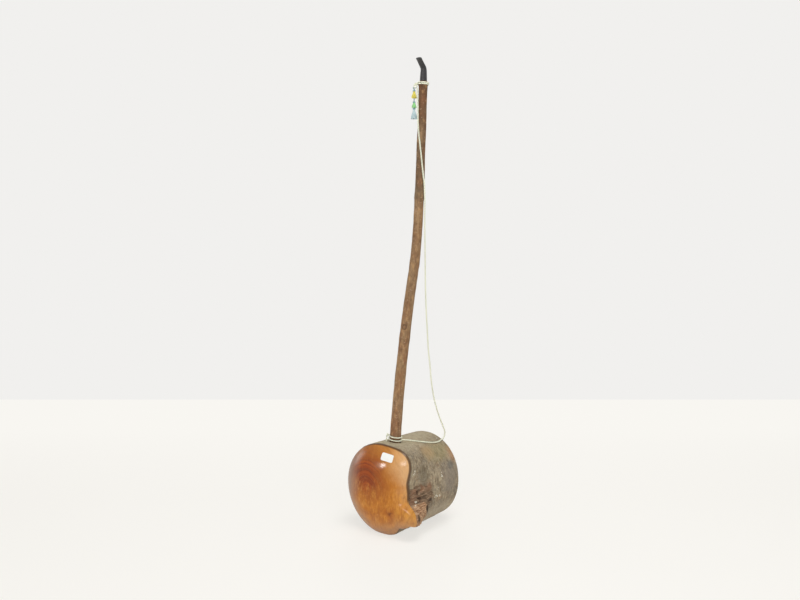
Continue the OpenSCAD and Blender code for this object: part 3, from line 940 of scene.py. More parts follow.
@dataclass(frozen=True)
class Fleck:
    """Dry pale flecks, as lenticels on the branch and lichen on the bark."""

    name: str
    pale: Colour
    dark: Colour
    rough: Span = (0.3, 0.7, 0.75, 0.92)
    spot_noise: Mottle = Mottle((0.0008, 0.0008, 0.0008), 3)

    def material(self) -> Material:
        """Return the finish as a material."""
        g = FinishGraph(self.name)
        spots = g.mottle(self.spot_noise)
        g.feed("Base Color", g.ramp(spots, ((0.35, self.dark), (0.65, self.pale))))
        g.feed("Roughness", g.between(spots, *self.rough))
        g.bump(spots, 0.0002, 0.8)
        return g.material


@dataclass(frozen=True)
class Fibre:
    """Twisted or combed fibre: twine and yarns, with strands of slightly different tints."""

    name: str
    tints: tuple[Colour, Colour, Colour]
    shade: Colour
    rough: Span = (0.3, 0.7, 0.72, 0.92)
    wisp_noise: Mottle = Mottle((0.0005, 0.0005, 0.0015), 3)
    worn_noise: Mottle = Mottle((0.012, 0.012, 0.02), 3, (3, 3, 8))

    def material(self) -> Material:
        """Return the finish as a material."""
        g = FinishGraph(self.name)
        wisps = g.mottle(self.wisp_noise)
        g.colour = g.ramp(g.value("strand"), tuple(zip((0.0, 0.5, 1.0), self.tints)))
        g.tint(wisps, Tint(self.shade, 0.5, 0.75, 0.5))
        g.tint(g.mottle(self.worn_noise), Tint(self.shade, 0.5, 0.75, 0.3))
        g.feed("Base Color", g.colour)
        g.feed("Roughness", g.between(wisps, *self.rough))
        g.feed("Sheen Weight", 0.25)
        g.feed("Sheen Roughness", 0.5)
        g.bump(wisps, 0.00025, 0.8)
        return g.material


@dataclass(frozen=True)
class LabelPaper:
    """Plain white paper, faintly fibrous and a little yellowed in places."""

    white: Colour = (234, 235, 231)
    aged: Tint = Tint((224, 220, 206), 0.55, 0.8, 0.5)
    fibres: Tint = Tint((222, 220, 212), 0.55, 0.75, 0.2)
    rough: Span = (0.3, 0.7, 0.45, 0.6)
    pulp_noise: Mottle = Mottle((0.0008, 0.0008, 0.0008))
    aged_noise: Mottle = Mottle((0.008, 0.02, 0.006), 3)

    def material(self) -> Material:
        """Return the finish as a material."""
        g = FinishGraph("label_paper")
        pulp = g.mottle(self.pulp_noise)
        g.colour = self.white
        g.tint(g.mottle(self.aged_noise), self.aged)
        g.tint(pulp, self.fibres)
        g.feed("Base Color", g.colour)
        g.feed("Roughness", g.between(pulp, *self.rough))
        g.bump(pulp, 0.00008, 0.5)
        return g.material


@dataclass(frozen=True)
class HardRubber:
    """Black moulded mouthpiece: satin, greyed by handling, with fine scratches."""

    black: Colour = (29, 29, 32)
    worn: Colour = (58, 56, 53)
    greyed: Tint = Tint((60, 58, 58), 0.42, 0.72, 0.7)
    scratched: Tint = Tint((96, 94, 90), 0.6, 0.75, 0.35)
    rough: Span = (0.3, 0.7, 0.3, 0.48)
    handled_noise: Mottle = Mottle((0.012, 0.012, 0.016))
    scratch_noise: Mottle = Mottle((0.0003, 0.004, 0.0012), 3)

    def material(self) -> Material:
        """Return the finish as a material."""
        g = FinishGraph("hard_rubber")
        handled, scratches = g.mottle(self.handled_noise), g.mottle(self.scratch_noise)
        g.colour = self.black
        g.tint(handled, self.greyed)
        g.tint(scratches, self.scratched)
        g.cover(g.value("wear"), self.worn)
        g.feed("Base Color", g.colour)
        g.feed("Roughness", g.between(handled, *self.rough))
        g.bump(scratches, 0.00006, 0.5)
        return g.material


@dataclass(frozen=True)
class Cork:
    """Pressed cork with dark pores."""

    grains: Stops = ((0.1, (164, 120, 78)), (0.9, (204, 164, 118)))
    pore: Tint = Tint((92, 62, 40), 0.6, 0.7, 0.9)
    rough: Span = (0, 1, 0.75, 0.9)
    grain_size: Point = (0.0016, 0.0016, 0.0016)
    pore_noise: Mottle = Mottle((0.0011, 0.0011, 0.0018), 3)

    def material(self) -> Material:
        """Return the finish as a material."""
        g = FinishGraph("cork")
        grains = g.add("ShaderNodeTexVoronoi", {"Vector": g.stretched(self.grain_size), "Scale": 1})
        lot = g.add("ShaderNodeSeparateColor", {0: grains.outputs["Color"]}).outputs[0]
        pores = g.mottle(self.pore_noise)
        g.colour = g.ramp(lot, self.grains)
        g.tint(pores, self.pore)
        g.feed("Base Color", g.colour)
        g.feed("Roughness", g.between(lot, *self.rough))
        g.bump(pores, 0.0004, -0.7)
        return g.material


@dataclass(frozen=True)
class Backdrop:
    """Pale studio floor that keeps soft shadows, and glows where it is seen directly."""

    far_way: Point
    pale: Colour = (249, 247, 242)
    paler: Span = (0.15, 0.75, 0.71, 0.96)

    def material(self) -> Material:
        """Return the finish as a material."""
        g = FinishGraph("studio_floor")
        g.feed("Base Color", linear(self.pale))
        g.feed("Roughness", 0.8)
        g.feed("Specular IOR Level", 0.1)
        glow = g.add("ShaderNodeEmission", {"Color": linear(self.pale), "Strength": 1}).outputs[0]
        far = g.vector("DOT_PRODUCT", g.place, self.far_way, output="Value")
        share = g.product(g.seen_directly(), g.between(far, *self.paler))
        feeds = {0: share, 1: g.shader.outputs[0], 2: glow}
        floor = g.add("ShaderNodeMixShader", feeds).outputs[0]
        g.tree.links.new(floor, g.tree.nodes["Material Output"].inputs["Surface"])
        return g.material


class GrowthGraph(Graph):
    """The geometry node tree of what repeats on the pipe."""

    def __init__(self, name: str, **inputs: int | float | None) -> None:
        """Begin a tree with named inputs.

        Args:
            name: The tree's name.
            inputs: First values of its inputs, with _ for a space and None for a material.
        """
        kinds = {int: "NodeSocketInt", float: "NodeSocketFloat", type(None): "NodeSocketMaterial"}
        tree = bpy.data.node_groups.new(name, "GeometryNodeTree")
        new = tree.interface.new_socket
        new("Skin", in_out="INPUT", socket_type="NodeSocketGeometry")
        for key, value in inputs.items():
            kind = kinds[type(value)]
            socket = new(key.replace("_", " "), in_out="INPUT", socket_type=kind)
            if value is not None:
                socket.default_value = value
        new("Piece", in_out="OUTPUT", socket_type="NodeSocketGeometry")
        super().__init__(tree)
        self.given = self.add("NodeGroupInput").outputs

    def random(self, low: object, high: object, turn: int) -> NodeSocket:
        """Return a random number for each point, from the seed and a turn that tells uses apart."""
        feeds = {2: low, 3: high, 8: self.math("ADD", self.given["Seed"], turn)}
        return self.add("FunctionNodeRandomValue", feeds, data_type="FLOAT").outputs[1]

    def store(self, geometry: NodeSocket, name: str, value: object) -> NodeSocket:
        """Put a value on the points."""
        feeds = {"Geometry": geometry, "Name": name, "Value": value}
        return self.add("GeometryNodeStoreNamedAttribute", feeds, data_type="FLOAT").outputs[0]

    def stored(self, name: str) -> NodeSocket:
        """Return a value that the points carry."""
        feeds = {"Name": name}
        return self.add("GeometryNodeInputNamedAttribute", feeds, data_type="FLOAT").outputs[0]

    def tube(self, line: NodeSocket, radius: NodeSocket, sides: int) -> NodeSocket:
        """Sweep a closed tube along lines.

        Args:
            line: The lines.
            radius: The tube's radius.
            sides: Its sides.

        Returns:
            The tube.
        """
        feeds = {"Resolution": sides, "Radius": radius}
        ring = self.add("GeometryNodeCurvePrimitiveCircle", feeds).outputs[0]
        feeds = {"Curve": line, "Profile Curve": ring, "Fill Caps": True}
        return self.add("GeometryNodeCurveToMesh", feeds).outputs[0]

    def close(self, geometry: NodeSocket) -> NodeTree:
        """End the tree in Realize Instances and Set Material.

        Args:
            geometry: What the tree has made.

        Returns:
            The tree.
        """
        real = self.add("GeometryNodeRealizeInstances", {"Geometry": geometry}).outputs[0]
        feeds = {"Geometry": real, "Material": self.given["Finish"]}
        self.add("NodeGroupOutput", {0: self.add("GeometryNodeSetMaterial", feeds).outputs[0]})
        return self.tree


def yarn_tuft() -> NodeTree:
    """Return the tree that makes a tuft of yarn hang from the origin along -Z."""
    g = GrowthGraph(
        "yarn_tuft", Strands=90, Length=0.016, Neck_Radius=0.0022, Hem_Radius=0.005,
        Neck_Share=0.2, Strand_Radius=0.0003, Uneven_Ends=0.12, Seed=1, Finish=None,
    )
    given = g.given
    spots = g.add("GeometryNodePoints", {"Count": given["Strands"]}).outputs[0]
    picks = {
        "bearing": (0.0, 2 * math.pi),
        "depth": (0.12, 1.0),
        "trim": (g.math("SUBTRACT", 1.0, given["Uneven Ends"]), 1.0),
        "strand": (0.0, 1.0),
        "sway": (-0.5, 0.5),
    }
    for turn, (name, (low, high)) in enumerate(picks.items()):
        spots = g.store(spots, name, g.random(low, high, turn))
    line = g.add("GeometryNodeCurvePrimitiveLine", {"End": (0, 0, -1)}).outputs[0]
    line = g.add("GeometryNodeResampleCurve", {"Curve": line, "Count": 10}).outputs[0]
    feeds = {"Points": spots, "Instance": line}
    many = g.add("GeometryNodeInstanceOnPoints", feeds).outputs[0]
    many = g.add("GeometryNodeRealizeInstances", {"Geometry": many}).outputs[0]

    share = g.add("GeometryNodeSplineParameter").outputs["Factor"]
    head = g.between(share, 0.0, 0.07, bend="SMOOTHSTEP")
    flare = g.between(share, given["Neck Share"], 1.0, bend="SMOOTHSTEP")
    gain = g.math("SUBTRACT", given["Hem Radius"], given["Neck Radius"])
    reach = g.product(g.math("MULTIPLY_ADD", flare, gain, given["Neck Radius"]), head)
    sway = g.stored("sway")
    curl = g.math("SINE", g.math("MULTIPLY_ADD", share, 9.0, g.product(sway, 12.0)))
    wave = g.product(g.product(curl, flare), g.product(given["Strand Radius"], 1.4))
    radius = g.math("ADD", g.product(reach, g.math("SQRT", g.stored("depth"))), wave)
    angle = g.math("ADD", g.stored("bearing"), g.product(sway, g.product(share, 0.9)))
    drop = g.product(g.product(given["Length"], g.stored("trim")), g.product(share, -1.0))
    x = g.product(radius, g.math("COSINE", angle))
    y = g.product(radius, g.math("SINE", angle))
    place = g.add("ShaderNodeCombineXYZ", {0: x, 1: y, 2: drop}).outputs[0]
    feeds = {"Geometry": many, "Position": place}
    hung = g.add("GeometryNodeSetPosition", feeds).outputs[0]
    return g.close(g.tube(hung, given["Strand Radius"], 5))


def fleck_scatter() -> NodeTree:
    """Return the tree that scatters flat flecks over the skin by its value scatter."""
    g = GrowthGraph(
        "flecks", Density=9000.0, Least_Size=0.0005, Largest_Size=0.0012, Stretch=1.8,
        Flatness=0.3, Seed=1, Finish=None,
    )
    given = g.given
    density = g.product(g.stored("scatter"), given["Density"])
    feeds = {"Mesh": given["Skin"], "Density": density, "Seed": given["Seed"]}
    spread = g.add("GeometryNodeDistributePointsOnFaces", feeds).outputs
    size = g.random(given["Least Size"], given["Largest Size"], 5)
    long, flat = g.product(size, given["Stretch"]), g.product(size, given["Flatness"])
    scale = g.add("ShaderNodeCombineXYZ", {0: long, 1: size, 2: flat}).outputs[0]
    stone = g.add("GeometryNodeMeshIcoSphere", {"Radius": 1.0, "Subdivisions": 2}).outputs[0]
    feeds = {key: spread[key] for key in ("Points", "Rotation")}
    feeds |= {"Instance": stone, "Scale": scale}
    return g.close(g.add("GeometryNodeInstanceOnPoints", feeds).outputs[0])


def thread_binding() -> NodeTree:
    """Return the tree that winds thread round the Z axis."""
    g = GrowthGraph(
        "thread_binding", Turns=4.0, Radius=0.0026, Height=0.002, Thread_Radius=0.0003,
        Finish=None,
    )
    given = g.given
    feeds = {"Resolution": 28, "Rotations": given["Turns"], "Height": given["Height"]}
    feeds |= {"Start Radius": given["Radius"], "End Radius": given["Radius"]}
    coil = g.add("GeometryNodeCurveSpiral", feeds).outputs[0]
    low = g.add("ShaderNodeCombineXYZ", {2: g.product(given["Height"], -0.5)}).outputs[0]
    coil = g.add("GeometryNodeSetPosition", {"Geometry": coil, "Offset": low}).outputs[0]
    return g.close(g.store(g.tube(coil, given["Thread Radius"], 6), "strand", 0.5))


def grow(name: str, tree: NodeTree, skin: Mesh | None = None, **inputs: object) -> Object:
    """Run a tree and keep its result as a plain mesh.

    Args:
        name: Name of the piece.
        tree: The tree.
        skin: Mesh that the tree works on, if any.
        inputs: Values of the tree's inputs, with _ for a space.

    Returns:
        The piece, at the origin and with no modifier.
    """
    mesh = skin.copy() if skin else bpy.data.meshes.new(name)
    obj = bpy.data.objects.new(name, mesh)
    bpy.context.scene.collection.objects.link(obj)
    modifier = obj.modifiers.new("grow", "NODES")
    modifier.node_group = tree
    sockets = {s.name: s.identifier for s in tree.interface.items_tree if s.in_out == "INPUT"}
    for key, value in inputs.items():
        modifier[sockets[key.replace("_", " ")]] = value
    settle(obj)
    soften(obj, FINE_CREASE)
    return obj


def merged(name: str, objects: list[Object]) -> Object:
    """Join plain meshes into the first one.

    Args:
        name: Name of the result.
        objects: The objects.

    Returns:
        The first object.
    """
    work = bmesh.new()
    for obj in objects:
        work.from_mesh(obj.data)
    first, rest = objects[0], objects[1:]
    work.to_mesh(first.data)
    work.free()
    for obj in rest:
        bpy.data.objects.remove(obj)
    first.name = name
    return first


@dataclass(frozen=True)
class Swell:
    """A swell or hollow of the log: its place, how far and squarely it spreads, and its height."""

    bearing: float
    spread: float
    squareness: float
    setback: float
    reach: float
    height: float


@dataclass(frozen=True)
class LogForm:
    """The log's form, shared by the wood, the bark, the sticker and the stem's seat."""

    radius: float = 0.101
    mouth_radius: float = 0.096
    bark_length: float = 0.164
    bark_thickness: float = 0.0035
    dome_depth: float = 0.026
    rim_length: float = 0.006
    flat_width: float = 0.032
    dome_power: float = 2.8
    bark_proud: float = 0.001
    rim_turn_in: float = 0.0045
    roll: float = 0.072
    roll_ease: float = 0.008
    swells: tuple[Swell, ...] = (
        Swell(37, 18, 2, 0.0, 0.034, 0.0098),
        Swell(87, 32, 4, 0.0, 0.060, -0.0276),
        Swell(117, 11, 4, 0.008, 0.028, 0.0194),
        Swell(147, 8.5, 2, 0.0, 0.070, -0.0085),
        Swell(262, 70, 2, 0.0, 0.090, -0.005),
        Swell(92, 50, 2, 0.170, 0.080, -0.009),
    )

    @property
    def front(self) -> float:
        """Where the bark starts along Y."""
        return -self.bark_length / 2

    @property
    def back(self) -> float:
        """Where the bark ends along Y."""
        return self.bark_length / 2

    @property
    def mouth(self) -> float:
        """Where the mouth's rim ends along Y."""
        return self.back + self.rim_length

    @property
    def wood_depth(self) -> float:
        """How deep the wood lies under the bark's surface."""
        return self.bark_thickness + LAYER_GAP

    @property
    def axis_height(self) -> float:
        """The height of the log's axis at the polished end."""
        return math.sqrt((self.radius - self.wood_depth) ** 2 - (self.flat_width / 2) ** 2)

    def round_radius(self, y: Array) -> Array:
        """Return the radius of the plain taper."""
        taper = (self.mouth_radius - self.radius) * (y - self.front)
        return self.radius + taper / (self.mouth - self.front)

    def axis_at(self, y: Array) -> Array:
        """Return the height of the log's axis along Y."""
        return self.axis_height - self.radius + self.round_radius(y)

    def surface(self, bearing: Array, y: Array) -> Array:
        """Find the surface of the bark.

        Args:
            bearing: Bearings from +Z towards +X.
            y: Places along Y.

        Returns:
            The radius there.
        """
        total = self.round_radius(y) + 0 * np.asarray(bearing)
        for swell in self.swells:
            round_it = bell(half_turn(bearing - swell.bearing) / swell.spread, swell.squareness)
            along_it = bell((y - self.front - swell.setback) / swell.reach)
            total = total + swell.height * round_it * along_it
        return total

    def edge(self, bearing: Array) -> Array:
        """Return the radius of the polished end's rim at a bearing."""
        return self.surface(bearing, self.front) - self.bark_proud

    def spot(self, bearing: Array, y: Array, radius: Array) -> Array:
        """Return points at a bearing, a place along Y and a distance from the axis."""
        x, up = across_and_up(bearing, radius)
        return np.stack(np.broadcast_arrays(x, y, self.axis_at(y) + up), -1)

    def dome(self, x: Array, up: Array) -> Array:
        """Return where the polished end lies along Y, at a place seen from the front.

        The end falls away towards its rim, so the fall follows the hollow and the stub.

        Args:
            x: Places across.
            up: Places above the log's axis.

        Returns:
            The places along Y.
        """
        turn, soft = np.degrees(circle(360)), self.roll_ease
        reach = self.edge(turn)
        rim = np.stack(across_and_up(turn, reach), -1)
        step = np.linalg.norm(np.roll(rim, -1, 0) - np.roll(rim, 1, 0), axis=-1) / 2

        def inward(across: Array, height: Array) -> Array:
            """Return how far in from the rim a place is, eased where two parts of it are near."""
            away = np.hypot(across[..., None] - rim[:, 0], height[..., None] - rim[:, 1])
            return -soft * np.log((np.exp(-away / soft) * step).sum(-1) / (2 * soft))

        bearing = np.degrees(np.arctan2(x, up))
        at_rim = np.interp(bearing, turn, inward(rim[:, 0], rim[:, 1]), period=360)
        share = np.hypot(x, up) / np.interp(bearing, turn, reach, period=360)
        fall = 1 - (inward(x, up) - at_rim * share**6) / self.roll
        fall = np.clip(fall, 0, 1 - 0.5 * np.clip(1 - share, 0, 1))
        return self.front - LAYER_GAP - self.dome_depth * np.sqrt(1 - fall**self.dome_power)

    def below_ground(self) -> Shell:
        """Return a block under the resting flat, to cut with."""
        wide, deep = 2 * self.radius, 0.08
        corner = np.array([(-wide, -wide), (wide, -wide), (wide, wide), (-wide, wide)])
        rings = [np.column_stack([corner, np.full(4, z)]) for z in (-deep, 0.0)]
        return Shell.over(np.array(rings))


@dataclass(frozen=True)
class StemForm:
    """The stem's line and thickness, and the seat that it stands in."""

    log: LogForm
    setback: float = 0.037
    lean: float = 4.0
    seat_depth: float = 0.008
    length: float = 0.763
    sway: float = 0.0735
    waver: float = 0.002
    base_radius: float = 0.01225
    top_radius: float = 0.0083
    tenon_radius: float = 0.009
    tenon_length: float = 0.055
    cork_wall: float = 0.0015
    draught_radius: float = 0.003
    foot_gap: float = 0.0006
    node_swell: float = 0.0008
    chamfer: float = 0.0006
    cap_radius: float = 0.004
    bends: tuple[Point, ...] = (
        (0, 0, 0), (0.2, 0.184, 1), (0.4, 0.517, -1), (0.55, 0.755, 0), (0.7, 0.85, 1),
        (0.85, 0.939, 0), (1, 1, 0),
    )
    nodes: tuple[Point, ...] = (
        (0.31, 0.012, 0.6), (0.52, 0.012, 0.75), (0.7, 0.012, 1.0), (1.0, 0.04, 1.0),
    )

    @property
    def axis(self) -> Array:
        """The direction of the stem's foot."""
        lean = math.radians(self.lean)
        return np.array([math.sin(lean), 0, math.cos(lean)])

    @property
    def seat(self) -> Array:
        """The middle of the seat in the log."""
        y = self.log.front + self.setback
        depth = float(self.log.surface(np.array(self.lean), np.array(y))) - self.seat_depth
        return np.array([0, y, self.log.axis_at(y)]) + depth * self.axis

    @property
    def table(self) -> Array:
        """The bends: shares of the length, and how far the stem is out along X and Y."""
        return np.array(self.bends) * np.array([1, self.sway, self.waver])

    def slopes(self) -> Array:
        """Return how fast the sway changes at each bend."""
        table = self.table
        slopes = [[self.length * math.tan(math.radians(self.lean)), 0.0]]
        for i in range(1, len(table)):
            before, after = table[i - 1], table[min(i + 1, len(table) - 1)]
            slopes.append(((after - before)[1:] / (after - before)[0]).tolist())
        return np.array(slopes)

    def line(self, share: Array) -> Array:
        """Find the stem's middle.

        Args:
            share: Shares of its length.

        Returns:
            The points there.
        """
        table, share = self.table, np.asarray(share, dtype=float)
        i = np.clip(np.searchsorted(table[:, 0], share, "right") - 1, 0, len(table) - 2)
        p, q, slopes = table[i], table[i + 1], self.slopes()
        span = (q[:, 0] - p[:, 0])[:, None]
        t = (share[:, None] - p[:, :1]) / span
        bend = (1 + 2 * t) * (1 - t) ** 2 * p[:, 1:] + t * (1 - t) ** 2 * span * slopes[i]
        bend = bend + t**2 * (3 - 2 * t) * q[:, 1:] + t**2 * (t - 1) * span * slopes[i + 1]
        return self.seat + CLEAR_GAP * self.axis + np.column_stack([bend, self.length * share])

    def radius(self, share: Array) -> Array:
        """Return the stem's radius at shares of its length."""
        plain = self.base_radius + (self.top_radius - self.base_radius) * share
        return plain + self.node_swell * sum(h * bell((share - at) / d) for at, d, h in self.nodes)

    @property
    def at_seat(self) -> Matrix:
        """The frame of the seat."""
        return frame_at(self.seat, self.lean)

    @property
    def at_top(self) -> Matrix:
        """The frame of the stem's top."""
        lean = math.degrees(math.atan(self.slopes()[-1][0] / self.length))
        return frame_at(self.line(np.array([1.0]))[0], lean)

    def foot_hole(self, height: float) -> Shell:
        """Return the hole round the stem's foot, from its seat up, to cut with."""
        r = self.base_radius + self.foot_gap
        return lathe([(r, 0.0), (r, height)]).moved(self.at_seat)

    def mortise(self) -> Shell:
        """Return the stepped hole for the tenon and its cork, to cut with."""
        r = self.tenon_radius + LAYER_GAP + self.cork_wall + SLIDE_GAP
        deep, wide = self.tenon_length + 2 * CLEAR_GAP, self.base_radius + self.foot_gap
        profile = [(self.cap_radius, -deep), (r, -deep), (r, -self.chamfer)]
        profile += [(r + self.chamfer, 0.0), (wide, 0.0), (wide, 0.03)]
        return lathe(profile).moved(self.at_seat)


@dataclass
class LogBowl:
    """The wood of the log: a polished dome, the side under the bark, the rim and the chamber."""

    form: LogForm
    stem: StemForm
    finish: Material
    sides: int = 264
    chamber_radius: float = 0.048
    chamber_depth: float = 0.100
    draught_radius: float = 0.004
    undulation: float = 0.00008
    # Width of the painted shadow along the bark, in parts of the rim's radius.
    seam_shadow_width: float = 0.026
    dome_steps: int = 64
    mouth_chamfer: float = 0.0016
    floor_round: float = 0.006
    draught_reach: float = 0.03
    face_shares: tuple[float, ...] = (0.15, 0.35, 0.55, 0.75, 0.9)
    crease: float = 40

    def dome_rings(self) -> list[Array]:
        """Return the rings of the dome, with the slight waves that rubbing down by hand leaves."""
        form, bearing = self.form, np.degrees(circle(self.sides))
        edge, at_rim, rings = form.edge(bearing), np.full(self.sides, form.front - LAYER_GAP), []
        for step in range(1, self.dome_steps + 1):
            share = math.sin(math.radians(90 * step / self.dome_steps)) ** (2 / form.dome_power)
            x, up = across_and_up(bearing, share * edge)
            y = form.dome(x, up) if step < self.dome_steps else at_rim
            ring = np.column_stack([x, y, form.axis_height + up])
            wave = grain(ring * np.array([1, 0, 1]), (0.032, 1, 0.026), 3.7, 1)
            ring[:, 1] += self.undulation * (1 - share**8) * wave
            rings.append(ring)
        return rings

    def seam_shadow(self, rings: Array) -> Array:
        """Find the painted shadow in the gap along the bark.

        Args:
            rings: Points of the dome.

        Returns:
            How far each lies in the line, 0 to 1.
        """
        x, up = rings[..., 0], rings[..., 2] - self.form.axis_height
        bearing = np.degrees(np.arctan2(x, up))
        share = np.hypot(x, up) / self.form.edge(bearing)
        along = ease((bearing + 45) / 35) * (1 - ease((bearing - 94) / 12))
        return 0.85 * along * ease((share - 1 + self.seam_shadow_width) / (0.7 * self.seam_shadow_width))

    def side_rings(self) -> list[Array]:
        """Return the rings from the bark's front edge to the mouth's rim."""
        form, bearing = self.form, np.degrees(circle(self.sides))
        x, up = across_and_up(bearing, form.surface(bearing, form.front) - form.wood_depth)
        start = np.full(self.sides, form.front - LAYER_GAP)
        rings = [np.column_stack([x, start, form.axis_height + up])]
        for y in np.linspace(form.front, form.back, 15):
            rings.append(form.spot(bearing, y, form.surface(bearing, y) - form.wood_depth))
        for turn in np.radians(np.arange(6, 91, 7)):
            inset = form.wood_depth + form.rim_turn_in * (1 - math.cos(turn))
            y = form.back + form.rim_length * math.sin(turn)
            rings.append(form.spot(bearing, y, form.surface(bearing, form.back) - inset))
        return rings

    def chamber_rings(self, rim: Array) -> list[Array]:
        """Return the rings of the mouth's face, the chamber and its draught hole.

        Args:
            rim: The last ring of the log's side.

        Returns:
            The rings, from the rim inwards.
        """
        form, turn = self.form, circle(self.sides)
        height = float(form.axis_at(form.mouth))

        def hoop(r: float, y: float) -> Array:
            """Return a ring of the bore."""
            around = [r * np.sin(turn), np.full(self.sides, y), height + r * np.cos(turn)]
            return np.column_stack(around)

        edge = hoop(self.chamber_radius + self.mouth_chamfer, form.mouth)
        rings = [rim + (edge - rim) * t for t in self.face_shares] + [edge]
        floor, curve = form.mouth - self.chamber_depth, self.floor_round
        wall = np.linspace(form.mouth - self.mouth_chamfer, floor + curve, 20)
        rings += [hoop(self.chamber_radius, y) for y in wall]
        for angle in np.radians([20, 45, 70, 90]):
            r = self.chamber_radius - curve * (1 - math.cos(angle))
            rings.append(hoop(r, floor + curve * (1 - math.sin(angle))))
        rings += [hoop(r, floor) for r in (0.03, 0.018, 0.008, self.draught_radius)]
        draught = np.linspace(floor - 0.001, floor - self.draught_reach, 5)
        return rings + [hoop(self.draught_radius, y) for y in draught]

    def build(self) -> None:
        """Build the wood and enter it."""
        outside = self.dome_rings() + self.side_rings()
        bore = self.chamber_rings(outside[-1])
        face = len(outside)
        inside = face + len(self.face_shares) + 1
        bored = np.zeros(face + len(bore))
        bored[face:inside], bored[inside:] = 0.25, 1
        shell = Shell.over(np.array(outside + bore))
        shell.give("bored", np.concatenate([np.repeat(bored, self.sides), [0.0, 1.0]]))
        seam_shadow, to_bark = np.zeros((len(bored), self.sides)), self.dome_steps + 1
        seam_shadow[:to_bark] = self.seam_shadow(np.array(outside[:to_bark]))
        shell.give("seam_shadow", np.concatenate([seam_shadow.ravel(), [0.0, 0.0]]))
        wood = shell.to_object("log_wood", self.finish, self.crease)
        carve(wood, self.form.below_ground(), self.crease)
        carve(wood, self.stem.mortise(), self.crease)
        enter(wood, Body.BOWL, Slot.POLISHED_WOOD, "bowl_block")


@dataclass(frozen=True)
class Patch:
    """A place on the bark: its bearing and place along Y, and how far it spreads."""

    bearing: float
    spread: float
    place: float
    reach: float

    def share(self, bearing: Array, y: Array, squareness: float = 2) -> Array:
        """Return 1 in the middle of the patch, falling to 0 round it."""
        off = half_turn(bearing - self.bearing) / self.spread
        return bell(off, squareness) * bell((y - self.place) / self.reach, squareness)


